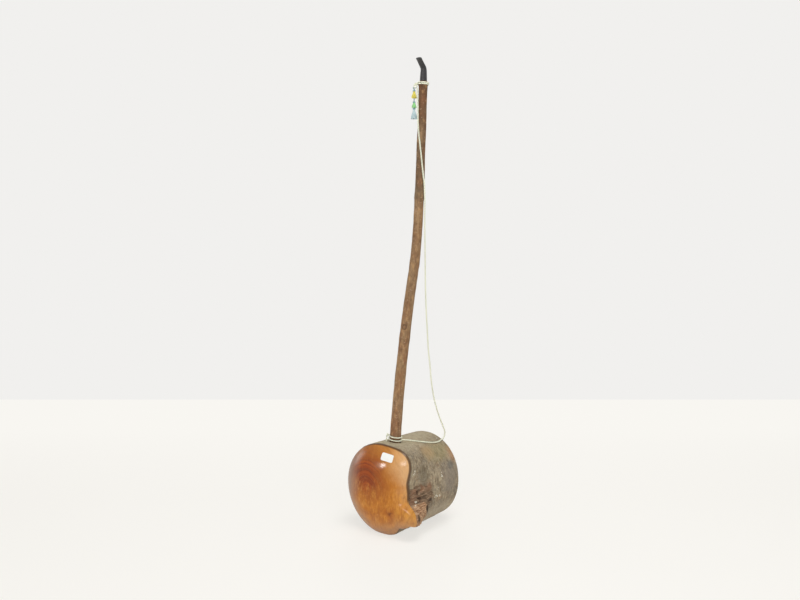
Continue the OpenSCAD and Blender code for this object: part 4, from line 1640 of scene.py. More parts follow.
@dataclass
class BarkJacket:
    """The bark on the log's side, streaked, and broken down to split wood at the stub."""

    form: LogForm
    stem: StemForm
    finish: Material
    speck_finish: Material
    flecks: NodeTree
    sides: int = 440
    rings: int = 132
    edge_wear: float = 0.0012
    relief_depth: float = 0.0009
    least_depth: float = 0.0029
    chunk_height: float = 0.0022
    ledge_height: float = 0.0012
    broken_depth: float = 0.0006
    shred_height: float = 0.0013
    split_depth: float = 0.0015
    pit_depth: float = 0.0024
    edge_ragged: float = 0.0012
    edge_shade_width: float = 0.0042
    hollow_shade_width: float = 0.0045
    floor_clear: float = 0.008
    crease: float = 70
    broken: Patch = Patch(95, 21, -0.050, 0.039)
    split: Patch = Patch(115, 11.5, -0.058, 0.031)
    pits: tuple[Patch, ...] = (
        Patch(117, 4.5, -0.0725, 0.0055), Patch(114, 7, -0.0305, 0.0035),
        Patch(103, 4, -0.021, 0.004), Patch(88, 5, -0.058, 0.003), Patch(99, 3, -0.050, 0.006),
    )
    specks: tuple[Patch, ...] = (
        Patch(59, 2.0, -0.067, 0.0025), Patch(61.5, 1.6, 0.023, 0.002),
        Patch(98.2, 2.2, -0.0097, 0.003), Patch(100, 1.6, 0.003, 0.002),
        Patch(104, 2.0, -0.064, 0.0025), Patch(74.5, 1.6, 0.015, 0.002),
    )

    def zones(self, bearing: Array, y: Array, points: Array) -> tuple[Array, Array, Array]:
        """Find the stub's broken places.

        Args:
            bearing: Bearings round the log.
            y: Places along it.
            points: The points there.

        Returns:
            Where bark is broken, where wood is split and where pits are, 0 to 1.
        """
        ragged = 0.34 * grain(points, (0.011, 0.012, 0.009), 3.3, 3)
        broken = ease((self.broken.share(bearing, y, 4) + ragged - 0.36) / 0.42)
        split = ease((self.split.share(bearing, y, 4) + 0.8 * ragged - 0.40) / 0.25)
        pit = sum(p.share(bearing, y) for p in self.pits)
        return broken * (1 - split), split, ease((pit + ragged - 0.35) / 0.4)

    def relief(self, points: Array, broken: Array, split: Array, pit: Array) -> Array:
        """Work out the bark's relief.

        Args:
            points: Points of the plain bark.
            broken: Where it is broken.
            split: Where wood is split.
            pit: Where pits are.

        Returns:
            Heights in metres.
        """
        lumps = grain(points, (0.030, 0.034, 0.030), 1.3)
        streaks = grain(points, (0.030, 0.0036, 0.030), 5.1)
        small = grain(points, (0.0052, 0.0040, 0.0052), 2.2, 3)
        cracks = ease((0.2 - np.abs(grain(points, (0.010, 0.022, 0.010), 8.6))) / 0.2)
        cracks = cracks * ease(lumps + 0.5)
        plain = self.relief_depth * (0.5 * lumps + 0.4 * streaks + 0.45 * small - 0.6 * cracks)
        chunks = grain(points, (0.010, 0.013, 0.0065), 6.4, 4)
        ledges = 1 - 2 * np.abs(grain(points, (0.016, 0.022, 0.010), 7.7, 3))
        slanted = points @ np.array([[1, 0, 0], [0, 1, 0.9], [0, 0, 1]])
        shreds = grain(slanted, (0.005, 0.024, 0.0036), 9.2, 3)
        rough = self.chunk_height * chunks + self.ledge_height * ledges - self.broken_depth
        bare = self.shred_height * shreds - self.split_depth
        total = plain * (1 - broken) * (1 - split) + rough * broken + bare * split
        return np.maximum(total - self.pit_depth * pit, -self.least_depth)

    def build(self) -> None:
        """Build the bark and its pale specks, and enter them."""
        form, bearing = self.form, np.degrees(circle(self.sides))[None, :]
        share = (np.linspace(0, 1, self.rings) ** 1.08)[:, None]
        front = form.spot(bearing, np.array([[form.front]]), np.array([[form.radius]]))
        ragged = self.edge_ragged * grain(front, (0.02, 0.02, 0.02), 4.4)
        y = form.front + form.bark_length * share + ragged * (1 - share) ** 12
        plain = form.spot(bearing, y, form.surface(bearing, y))
        broken, split, pit = self.zones(bearing, y, plain)
        thinned = 1 - 0.7 * ease((y - form.back + 0.004) / 0.004)
        ends = np.minimum(ease((y - form.front) / 0.005), thinned)
        height = self.relief(plain, broken, split, pit) * ends
        worn = self.edge_wear * (1 - ease((y - form.front) / 0.0035))
        outer = form.spot(bearing, y, form.surface(bearing, y) + height - worn)
        inner_y = np.linspace(form.back, form.front, 14)[:, None] + 0 * bearing
        inner = form.spot(bearing, inner_y, form.surface(bearing, inner_y) - form.bark_thickness)
        shell = Shell.over(np.concatenate([outer, inner]), loop=True)
        # Dark band at the bark's front edge, wider in the hollow: partly the cut edge's tone,
        # partly painted shade in the groove.
        hollow = bell(half_turn(bearing - 76) / 20, 4)
        edge = 0.9 * (1 - ease((y - form.front) / (self.edge_shade_width + self.hollow_shade_width * hollow)))
        edge = edge * (1 - 0.8 * bell(half_turn(bearing - 116) / 14, 4))
        pale = 0.0007 + sum(p.share(bearing, y) for p in self.specks)
        pale = pale * (plain[..., 2] > self.floor_clear)
        values = {
            "relief": height / self.relief_depth,
            "tear": broken,
            "bare": split,
            "pit": 0.85 * pit * ends,
            "scatter": pale * ends,
        }
        inside = np.zeros(inner.shape[:2])
        for name, value in values.items():
            shell.give(name, np.concatenate([value, inside]))
        shell.give("edge", np.concatenate([edge, inside + 0.9]))
        bark = shell.to_object("log_bark", self.finish, self.crease)
        specks = grow(
            "bark_specks", self.flecks, bark.data, Density=260000.0, Least_Size=0.0006,
            Largest_Size=0.0018, Stretch=1.3, Flatness=0.28, Seed=11, Finish=self.speck_finish,
        )
        carve(bark, form.below_ground(), self.crease)
        carve(bark, self.stem.foot_hole(0.04), self.crease)
        enter(bark, Body.BOWL, Slot.LOG_BARK, "bark_jacket")
        enter(specks, Body.BOWL, Slot.LOG_BARK)


@dataclass
class PaperSticker:
    """The blank label on the dome, with rounded corners and one corner lifting."""

    form: LogForm
    finish: Material
    width: float = 0.030
    height: float = 0.015
    x: float = 0.028
    up: float = 0.079
    turn: float = -4.0
    thickness: float = 0.0003
    lift: float = 0.0007
    columns: int = 41
    rows: int = 29
    crease: float = 40

    def build(self) -> None:
        """Build the label and enter it."""
        rows, columns = self.rows, self.columns
        u, v = np.meshgrid(np.linspace(-1, 1, columns), np.linspace(-1, 1, rows))
        across = u * (1 - 0.07 * v**12) * self.width / 2
        along = v * (1 - 0.09 * u**14) * self.height / 2
        turn = math.radians(self.turn)
        x = self.x + across * math.cos(turn) - along * math.sin(turn)
        up = self.up + across * math.sin(turn) + along * math.cos(turn)
        curl = self.lift * ease((u + v - 1.1) / 0.9)
        curl = curl + 0.3 * self.lift * ease((-u - v - 1.3) / 0.7)
        y = self.form.dome(x, up) - 2 * LAYER_GAP
        base = np.stack([x, y, self.form.axis_height + up], -1)
        front = base - np.stack([0 * u, self.thickness + curl, 0 * u], -1)
        back = base - np.stack([0 * u, curl, 0 * u], -1)
        starts = [j * columns + i for j in range(rows - 1) for i in range(columns - 1)]
        cells = [(k, k + 1, k + columns + 1, k + columns) for k in starts]
        shift = rows * columns
        rim = list(range(columns)) + [(j + 1) * columns - 1 for j in range(1, rows)]
        rim += [shift - 1 - i for i in range(1, columns)]
        rim += [j * columns for j in range(rows - 2, 0, -1)]
        hem = [(a, b, b + shift, a + shift) for a, b in zip(rim, rim[1:] + rim[:1])]
        under = [tuple(k + shift for k in cell[::-1]) for cell in cells]
        points = np.vstack([front.reshape(-1, 3), back.reshape(-1, 3)])
        sheet = Shell(points, cells + under + hem)
        label = sheet.to_object("paper_label", self.finish, self.crease)
        enter(label, Body.BOWL, Slot.STICKER_PAPER, "paper_sticker")


@dataclass
class StemBranch:
    """The branch: bark with ridges and twig scars, a bare top with a socket, and a tenon."""

    form: StemForm
    finish: Material
    lenticel_finish: Material
    flecks: NodeTree
    sides: int = 64
    rings: int = 640
    socket_radius: float = 0.0053
    socket_depth: float = 0.021
    ridge_height: float = 0.00022
    lump_height: float = 0.00042
    fine_height: float = 0.0001
    tenon_chamfer: float = 0.0008
    draught_reach: float = 0.03
    scars: tuple[Point, ...] = ((0.345, 200, 0.0011), (0.52, 52, 0.0012), (0.7, 285, 0.0014))

    def bark_rings(self) -> tuple[Array, Array]:
        """Return the rings of the barked length, and how much each point is scarred."""
        form, bearings = self.form, np.degrees(circle(self.sides))
        share = np.linspace(0, 1, self.rings)
        line = form.line(share)
        rim = hoops(*carried(line, (0, 1, 0)), self.sides)
        radius = form.radius(share)[:, None]
        plain = line[:, None] + radius[..., None] * rim
        ridges = grain(plain, (0.0052, 0.0052, 0.055), 2.9)
        lumps = grain(plain, (0.024, 0.024, 0.034), 7.3)
        fine = grain(plain, (0.0018, 0.0018, 0.009), 4.6)
        ends = ease(share / 0.006) * ease((1 - share) / 0.006)
        relief = self.ridge_height * ridges + self.lump_height * lumps + self.fine_height * fine
        relief = relief * ends[:, None]
        scarred = np.zeros_like(relief)
        for at, bearing, height in self.scars:
            spot = bell(half_turn(bearings - bearing)[None, :] / 24)
            spot = spot * bell((share[:, None] - at) / 0.0075)
            ring = bell((spot - 0.5) / 0.22)
            relief = relief + height * (np.minimum(spot, 0.6) - 0.35 * ease((spot - 0.7) / 0.3))
            scarred = np.maximum(scarred, 0.8 * ring)
        chamfer = form.chamfer * ease((share - 0.9985) / 0.0015)[:, None]
        return line[:, None] + (radius + relief - chamfer)[..., None] * rim, scarred

    def build(self) -> None:
        """Build the branch and its lenticels, and enter them."""
        form, turn = self.form, circle(self.sides)
        hoop = np.column_stack([-np.sin(turn), np.cos(turn), 0 * turn])

        def bore(profile: list[tuple[float, float]], frame: Matrix) -> Array:
            """Return rings of a profile of radius and height in a frame."""
            rings = np.array([r * hoop + np.array([0, 0, z]) for r, z in profile])
            return placed(rings, frame)

        end, chamfer = CLEAR_GAP - form.tenon_length, self.tenon_chamfer
        profile = [(form.draught_radius, end + self.draught_reach), (form.draught_radius, end)]
        profile.append((form.tenon_radius - chamfer, end))
        profile += [(form.tenon_radius, z) for z in np.linspace(end + chamfer, CLEAR_GAP, 8)]
        tenon = bore(profile, form.at_seat)
        radius, floor = self.socket_radius, -self.socket_depth
        profile = [(radius + form.chamfer, 0.0), (radius, -form.chamfer), (radius, floor)]
        socket = bore(profile + [(form.draught_radius, floor)], form.at_top)
        bark, scarred = self.bark_rings()
        shell = Shell.over(np.concatenate([tenon, bark, socket]))
        first, last = len(tenon), len(tenon) + len(bark)
        bare, clear, scar = (np.zeros((last + len(socket), self.sides)) for _ in range(3))
        bare[:first], bare[last - 1], bare[last:] = 1, 0.7, 1
        clear[first:last], scar[first:last] = 1, scarred
        for name, value in {"bare": bare, "scatter": clear, "scar": scar}.items():
            shell.give(name, value)
        stem = shell.to_object("stem_bark", self.finish)
        lenticels = grow(
            "stem_lenticels", self.flecks, stem.data, Density=9500.0, Least_Size=0.00035,
            Largest_Size=0.0009, Stretch=2.0, Flatness=0.32, Seed=5, Finish=self.lenticel_finish,
        )
        enter(stem, Body.STEM, Slot.BRANCH_BARK, "stem_branch")
        enter(lenticels, Body.STEM, Slot.BRANCH_BARK)


@dataclass
class Mouthpiece:
    """The bent mouthpiece: a tenon, a waist, a flattened lip with a button, and a slot."""

    stem: StemForm
    finish: Material
    width: float = 0.0145
    straight: float = 0.020
    bend_radius: float = 0.012
    bend: float = 45.0
    tip: float = 0.021
    lip_width: float = 0.0135
    lip_thickness: float = 0.0052
    airway_radius: float = 0.0015
    tenon_radius: float = 0.004
    tenon_length: float = 0.020
    button_length: float = 0.0036
    button_ridge: float = 0.0007
    base_round: float = 0.0007
    waist_depth: float = 0.0012
    lip_round: float = 0.0009
    tenon_chamfer: float = 0.0005
    worn_length: float = 0.007
    crease: float = 45
    sides: int = 64

    @property
    def bend_length(self) -> float:
        """The length of the bend along the airway."""
        return self.bend_radius * math.radians(self.bend)

    @property
    def length(self) -> float:
        """The length along the airway."""
        return self.straight + self.bend_length + self.tip

    def line(self, d: Array) -> Array:
        """Find the mouthpiece's middle.

        Args:
            d: Distances from the stem.

        Returns:
            The points there.
        """
        turn = np.clip(d - self.straight, 0, self.bend_length) / self.bend_radius
        past = np.maximum(0, d - self.straight - self.bend_length)
        y = self.bend_radius * (np.cos(turn) - 1) - past * np.sin(turn)
        z = np.minimum(d, self.straight) + self.bend_radius * np.sin(turn) + past * np.cos(turn)
        return np.stack([0 * d, y, z], -1)

    def halves(self, d: Array) -> tuple[Array, Array]:
        """Find half the mouthpiece's width and half its thickness.

        Args:
            d: Distances from the stem.

        Returns:
            The two halves there.
        """

        def rounded(depth: Array, radius: float) -> Array:
            """Return how far a rounded edge draws in at depths from it."""
            return radius * (1 - np.sqrt(1 - np.square(1 - np.clip(depth / radius, 0, 1))))

        t = d / self.length
        inset, end = rounded(d, self.base_round), rounded(self.length - d, self.lip_round)
        wide = (self.width + (self.lip_width - self.width) * ease(t)) / 2
        wide = wide - self.waist_depth * bell((t - 0.45) / 0.25)
        thick = (self.width + (self.lip_thickness - self.width) * ease((t - 0.3) / 0.65)) / 2
        button = bell((d - self.length + self.button_length / 2) / (self.button_length / 3))
        return wide - inset - end, thick + self.button_ridge * button - inset - end

    def build(self) -> None:
        """Build the mouthpiece and enter it."""
        turn = circle(self.sides)
        base = np.linspace(0, self.base_round, 5)
        body = np.linspace(2 * self.base_round, self.length - 0.001, 96)
        d = np.concatenate([base, body, np.linspace(self.length - self.lip_round, self.length, 6)])
        line = self.line(d)
        side, other = carried(line, (1, 0, 0))
        wide, thick = self.halves(d)

        def section(at: int, w: float, t: float, sunk: float) -> Array:
            """Return an oval across the line at a station, sunk along it."""
            oval = w * np.cos(turn)[:, None] * side[at] + t * np.sin(turn)[:, None] * other[at]
            return line[at] - sunk * np.cross(side[at], other[at]) + oval

        radius, deep, chamfer = self.tenon_radius, self.tenon_length, self.tenon_chamfer
        tenon = [(self.airway_radius, deep - 0.01), (self.airway_radius, deep)]
        tenon += [(radius - chamfer, deep), (radius, deep - chamfer), (radius, 0.01), (radius, 0.0)]
        rings = [section(0, r, r, sunk) for r, sunk in tenon]
        rings += [section(i, wide[i], thick[i], 0) for i in range(len(d))]
        slot = [(0.8, 0.72, 0.0), (0.62, 0.42, 0.0001), (0.58, 0.34, 0.0005), (0.4, 0.3, 0.004)]
        rings += [section(-1, w * wide[-1], t * thick[-1], sunk) for w, t, sunk in slot]
        shell = Shell.over(np.array(rings))
        worn = np.zeros(len(rings))
        handled = bell((d - self.length + 0.006) / self.worn_length)
        worn[len(tenon) : len(tenon) + len(d)] = 0.55 * handled
        shell.give("wear", np.repeat(worn, self.sides))
        shell.moved(self.stem.at_top @ Matrix.Translation((0, 0, CLEAR_GAP)))
        bit = shell.to_object("bent_mouthpiece", self.finish, self.crease)
        enter(bit, Body.MOUTHPIECE, Slot.BLACK_BIT, "mouthpiece")


@dataclass
class PipeCord:
    """The twine: turns and a knot at the stem's top and at its foot, and the slack run between."""

    stem: StemForm
    finish: Material
    tuft: NodeTree
    diameter: float = 0.0024
    twist: float = 0.0052
    slack_fullness: float = 1.25
    drawn_length: float = 0.02
    wrap_gap: float = 0.0003
    knot_bearing: float = 218.0
    knot_loop: float = 0.0026
    top_drop: float = 0.0005
    top_turns: int = 2
    turn_gap: float = 0.0003
    base_rise: float = 0.004
    base_pitch: float = 0.007
    base_arrival: float = 20.0
    base_turns: int = 2
    eye_radius: float = 0.0032
    eye_stand_out: float = 0.0004
    tail_length: float = 0.012
    tail_splay: float = 14.0
    tail_bow: float = 0.0012
    tail_lift: float = 0.0008
    fray_length: float = 0.0034
    fray_overlap: float = 0.0032
    step: float = 0.0006
    run_step: float = 0.00075

    # Points of the slack run, in millimetres.
    route: tuple[Point, ...] = (
        (69, -54, 945), (70.5, -55.5, 940), (73, -55, 932), (73, -55, 922), (74, -55, 897),
        (75, -56, 869), (77, -56, 845), (79, -56, 831), (80, -55, 819), (81, -54, 807),
        (82, -51, 783), (83, -48, 759), (83, -45, 747), (83, -43, 713), (82, -42, 680),
        (82, -40, 605), (80, -36, 548), (79, -32, 492), (77, -25, 446), (74, -16, 396),
        (71, -6, 362), (68, 3, 328), (64, 18, 289), (57, 41, 254), (50, 63, 228), (43, 86, 203),
        (40, 95, 191), (40, 95, 184), (42, 87, 178), (45, 72, 177), (47, 56, 177), (45, 36, 180),
        (38, 15, 185), (30, -1, 189), (25, -19, 194), (20, -36, 198), (20, -39, 198),
    )

    @property
    def radius(self) -> float:
        """The cord's radius."""
        return self.diameter / 2

    @property
    def top_pitch(self) -> float:
        """The rise of one turn at the stem's top."""
        return self.diameter + self.turn_gap

    @property
    def top_turn_radius(self) -> float:
        """The radius of the turns at the stem's top."""
        return float(self.stem.radius(np.array(1.0))) + self.wrap_gap + self.radius

    @property
    def base_turn_radius(self) -> float:
        """The radius of the turns at the stem's foot."""
        return self.stem.base_radius + self.wrap_gap + self.radius

    @property
    def top_start(self) -> float:
        """The height of the lowest turn, from the stem's top."""
        return -self.top_drop - self.radius - self.top_turns * self.top_pitch

    @property
    def base_sweep(self) -> float:
        """The angle that the turns at the foot go through."""
        return self.base_arrival - self.knot_bearing + 360 * self.base_turns

    @property
    def knot_offset(self) -> float:
        """How far a knot's middle stands off the turns' middle."""
        return self.radius + self.knot_loop - self.wrap_gap

    @property
    def outward(self) -> Array:
        """The direction from the stem to the knots."""
        turn = math.radians(self.knot_bearing)
        return np.array([math.cos(turn), math.sin(turn), 0])

    @property
    def top_knot(self) -> Array:
        """The middle of the knot at the top."""
        local = (self.top_turn_radius + self.knot_offset) * self.outward
        local = local + np.array([0, 0, self.top_start + self.top_pitch / 2])
        return placed(local[None], self.stem.at_top)[0]

    @property
    def hinge(self) -> Array:
        """The bottom of the eye that the tassel's ring hangs in."""
        out = (self.knot_loop + self.radius + self.eye_stand_out) * self.outward
        return self.top_knot + out - np.array([0, 0, 2 * self.eye_radius + self.radius])

    @property
    def at_base_knot(self) -> Matrix:
        """The frame of the knot at the foot."""
        rise = self.stem.seat_depth + self.base_rise + self.base_pitch * self.base_sweep / 360
        reach = self.base_turn_radius + self.knot_offset
        turn = turned(self.knot_bearing, "Z")
        return self.stem.at_seat @ turn @ Matrix.Translation((reach, 0, rise))

    def winding(self, radius: float, start: float, pitch: float, sweep: Span) -> Array:
        """Return the centreline of turns round the stem, with a straight length at both ends.

        Args:
            radius: Radius of the turns.
            start: Height of the first point.
            pitch: Rise of one turn.
            sweep: Bearings at the start and at the end.

        Returns:
            Points in the frame of the seat or of the stem's top.
        """
        first, last = sweep
        turns = abs(last - first) / 360
        q = np.linspace(0, 1, int(turns * 90))
        a = np.radians(first + (last - first) * q)
        spots = np.stack([radius * np.cos(a), radius * np.sin(a), start + pitch * turns * q], -1)
        way = math.copysign(self.diameter, last - first)
        lead, tail = (way * np.array([-math.sin(b), math.cos(b), 0]) for b in (a[0], a[-1]))
        return np.vstack([spots[:1] - lead, spots, spots[-1:] + tail])

    def knot_line(self) -> Array:
        """Return the centreline of an overhand knot drawn tight, about the origin."""
        t = np.linspace(0.12, 2 * np.pi - 0.12, 160)
        flat = np.stack([np.sin(t) + 2 * np.sin(2 * t), np.cos(t) - 2 * np.cos(2 * t)], -1)
        size = (self.knot_loop + self.radius * 0.1) / 3
        return np.column_stack([flat * size, -np.sin(3 * t) * self.radius * 0.95])

    def twine(self, name: str, lines: list[Array]) -> Object:
        """Twist twine along centrelines and make it one object."""
        shells = [rope(evenly(line, self.step), self.radius, self.twist) for line in lines]
        return Shell.joined(shells).to_object(name, self.finish, TWINE_CREASE)

    def tails(self) -> list[Array]:
        """Return the centrelines of the two cut ends at the foot's knot."""
        lines, t = [], np.linspace(0, 1, 24)
        drop = -self.knot_loop * 0.4 - (self.tail_length + self.knot_loop * 0.6) * t
        out = self.radius + self.tail_lift * t**2
        for way in (-1, 1):
            across = way * self.knot_loop / 2 + self.tail_bow * np.sin(np.pi * t) * way
            frame = self.at_base_knot @ turned(way * self.tail_splay, "X")
            lines.append(placed(np.stack([out, across, drop], -1), frame))
        return lines

    def build_run(self) -> None:
        path = evenly(smooth_line(np.array(self.route) / 1000, 24), self.run_step)
        along = lengths_along(path)
        slack = ease(np.minimum(along, along[-1] - along) / self.drawn_length)
        fullness = 1 + (self.slack_fullness - 1) * slack
        shell = rope(path, self.radius * fullness, self.twist)
        run = shell.to_object("cord_run", self.finish, TWINE_CREASE)
        enter(run, Body.STEM, Slot.CORD_TWINE, "cord_hanging_run")

    def turns(self) -> tuple[Array, Array]:
        """Return the centrelines of the turns at the stem's top and at its foot."""
        sweep = (self.knot_bearing, self.knot_bearing - 360 * self.top_turns)
        top = self.winding(self.top_turn_radius, self.top_start, self.top_pitch, sweep)
        rise = self.stem.seat_depth + self.base_rise
        sweep = (self.base_arrival, self.base_arrival - self.base_sweep)
        base = self.winding(self.base_turn_radius, rise, self.base_pitch, sweep)
        return placed(top, self.stem.at_top), placed(base, self.stem.at_seat)

    def eye(self) -> Array:
        """Return the centreline of the eye that the tassel's ring hangs in."""
        a, r = np.linspace(0.5 * np.pi, 2.5 * np.pi, 90), self.eye_radius
        loop = np.stack([0 * a, r * np.cos(a), r * (1 + np.sin(a))], -1)
        return placed(loop, frame_at(self.hinge, 0, self.knot_bearing))

    def frayed(self, line: Array, seed: int) -> Object:
        """Make the loose fibres at a cut end.

        Args:
            line: Centreline of the end.
            seed: Seed of the fibres.

        Returns:
            The fibres, in place.
        """
        fray = grow(
            "fray", self.tuft, Strands=26, Length=self.fray_length, Neck_Radius=self.radius * 0.7,
            Hem_Radius=self.radius * 1.25, Neck_Share=0.3, Strand_Radius=0.00011, Uneven_Ends=0.5,
            Seed=seed, Finish=self.finish,
        )
        way = Vector((line[-1] - line[-4]).tolist())
        turn = Vector((0, 0, -1)).rotation_difference(way).to_matrix().to_4x4()
        start = Vector(line[-1] - self.fray_overlap * np.array(way.normalized()))
        fray.data.transform(Matrix.Translation(start) @ turn)
        return fray

    def build_ties(self) -> None:
        """Build the turns, the knots, the eye and the frayed cut ends, and enter them."""
        top, base = self.turns()
        top_frame = frame_at(self.top_knot, 0, self.knot_bearing) @ turned(90, "X")
        top_knot = placed(self.knot_line(), top_frame)
        foot_knot = placed(self.knot_line(), self.at_base_knot @ turned(90, "Y"))
        ties = {
            "cord_turns_top": ("cord_top_winding", [top]),
            "cord_turns_foot": ("cord_base_winding", [base]),
            "cord_knot_top": ("cord_top_knot", [top_knot, self.eye()]),
            "cord_knot_foot": ("cord_base_knot", [foot_knot]),
        }
        for name, (node, lines) in ties.items():
            enter(self.twine(name, lines), Body.STEM, Slot.CORD_TWINE, node)
        lines = self.tails()
        pieces = [self.twine("cord_tails", lines)]
        for k, line in enumerate(lines):
            pieces.append(self.frayed(line, 40 + k))
        enter(merged("cord_tails", pieces), Body.STEM, Slot.CORD_TWINE, "cord_tails")


@dataclass(frozen=True)
class TuftSize:
    """One tuft of the tassel: where it starts, its length, its hem and its yarn."""

    node: str
    top: float
    length: float
    hem: float
    strands: int
    seed: int
    slot: Slot


@dataclass
class Tassel:
    """The tassel: a thread ring and core, three tufts of yarn, and their bindings."""

    cord: PipeCord
    yarns: dict[Slot, Material]
    tuft: NodeTree
    binding: NodeTree
    length: float = 0.062
    ring_radius: float = 0.0021
    ring_thread: float = 0.0006
    core_radius: float = 0.001
    neck_radius: float = 0.0022
    neck_length: float = 0.003
    binding_thread: float = 0.0003
    binding_turns: float = 4.0
    binding_height: float = 0.0021
    ring_twist: float = 0.0022
    core_twist: float = 0.0036
    strand_radius: float = 0.00034
    uneven_ends: float = 0.14
    tufts: tuple[TuftSize, ...] = (
        TuftSize("tassel_yellow_tuft", 0.0042, 0.0165, 0.0052, 150, 21, Slot.YELLOW_YARN),
        TuftSize("tassel_green_tuft", 0.0266, 0.0129, 0.0045, 130, 22, Slot.GREEN_YARN),
        TuftSize("tassel_blue_tuft", 0.0398, 0.0222, 0.0064, 190, 23, Slot.BLUE_YARN),
    )

    @property
    def place(self) -> Matrix:
        """The frame of the eye that the tassel hangs in."""
        return frame_at(self.cord.hinge, 0, self.cord.knot_bearing)

    def thread(self) -> Shell:
        """Return the ring and the core thread."""
        a, r = np.linspace(-0.5 * np.pi, 1.5 * np.pi, 90), self.ring_radius
        ring = np.stack([r * np.cos(a), 0 * a, r * np.sin(a)], -1)
        drop = np.linspace(-r, 0.001 - self.length, 80)
        core = np.stack([0.0001 * np.sin(drop * 400), 0.0001 * np.cos(drop * 300), drop], -1)
        ring = rope(evenly(ring, 0.0003), self.ring_thread, self.ring_twist, 2, 6)
        core = rope(evenly(core, 0.0004), self.core_radius, self.core_twist, 3, 6)
        return Shell.joined([ring, core]).moved(self.place)

    def build(self) -> None:
        """Build the ring and core, the tufts and the bindings, and enter them."""
        teal = self.yarns[Slot.TEAL_YARN]
        thread = self.thread().to_object("tassel_core", teal, TWINE_CREASE)
        enter(thread, Body.TASSEL, Slot.TEAL_YARN, "tassel_thread")
        coils = []
        for size in self.tufts:
            yarn = grow(
                size.node.replace("_tuft", "_yarn"), self.tuft, Strands=size.strands,
                Length=size.length, Neck_Radius=self.neck_radius * 0.92, Hem_Radius=size.hem,
                Neck_Share=self.neck_length / size.length, Strand_Radius=self.strand_radius,
                Uneven_Ends=self.uneven_ends, Seed=size.seed, Finish=self.yarns[size.slot],
            )
            yarn.data.transform(self.place @ Matrix.Translation((0, 0, -size.top)))
            enter(yarn, Body.TASSEL, size.slot, size.node)
            coil = grow(
                "coil", self.binding, Turns=self.binding_turns, Height=self.binding_height,
                Radius=self.neck_radius + self.binding_thread, Thread_Radius=self.binding_thread,
                Finish=teal,
            )
            middle = -size.top - self.neck_length / 2
            coil.data.transform(self.place @ Matrix.Translation((0, 0, middle)))
            coils.append(coil)
        enter(merged("tassel_wraps", coils), Body.TASSEL, Slot.TEAL_YARN, "tassel_bindings")


def heading(bearing: float, rise: float) -> Vector:
    """Return the direction at a bearing from -Y towards +X, and at an angle above the floor."""
    turn, up = math.radians(bearing), math.radians(rise)
    return Vector((math.sin(turn) * math.cos(up), -math.cos(turn) * math.cos(up), math.sin(up)))


@dataclass(frozen=True)
class Softbox:
    """A soft light that looks at the pipe: its place, size and watts, and if gloss shows it."""

    name: str
    bearing: float
    rise: float
    far: float
    size: tuple[float, float]
    power: float
    in_gloss: bool = True
    looks_at: Point = (0, 0, 0.3)

    def build(self) -> None:
        """Hang the light, which fades towards its edges."""
        data = bpy.data.lights.new(self.name, "AREA")
        data.shape, data.energy = "RECTANGLE", self.power
        data.size, data.size_y = self.size
        data.use_nodes = True
        g = Graph(data.node_tree)
        spot = g.add("ShaderNodeNewGeometry").outputs["Parametric"]
        offset = g.vector("SUBTRACT", spot, (0.5, 0.5, 0.0))
        from_middle = g.vector("LENGTH", offset, output="Value")
        fade = g.between(from_middle, 0.5, 0.1, bend="SMOOTHSTEP")
        glow = g.add("ShaderNodeEmission", {"Strength": fade}).outputs[0]
        g.tree.links.new(glow, g.tree.nodes["Light Output"].inputs["Surface"])
        lamp = bpy.data.objects.new(self.name, data)
        way = heading(self.bearing, self.rise)
        lamp.location = Vector(self.looks_at) + self.far * way
        lamp.rotation_euler = way.to_track_quat("Z", "Y").to_euler()
        lamp.visible_camera = False
        lamp.visible_glossy = self.in_gloss
        bpy.context.scene.collection.objects.link(lamp)


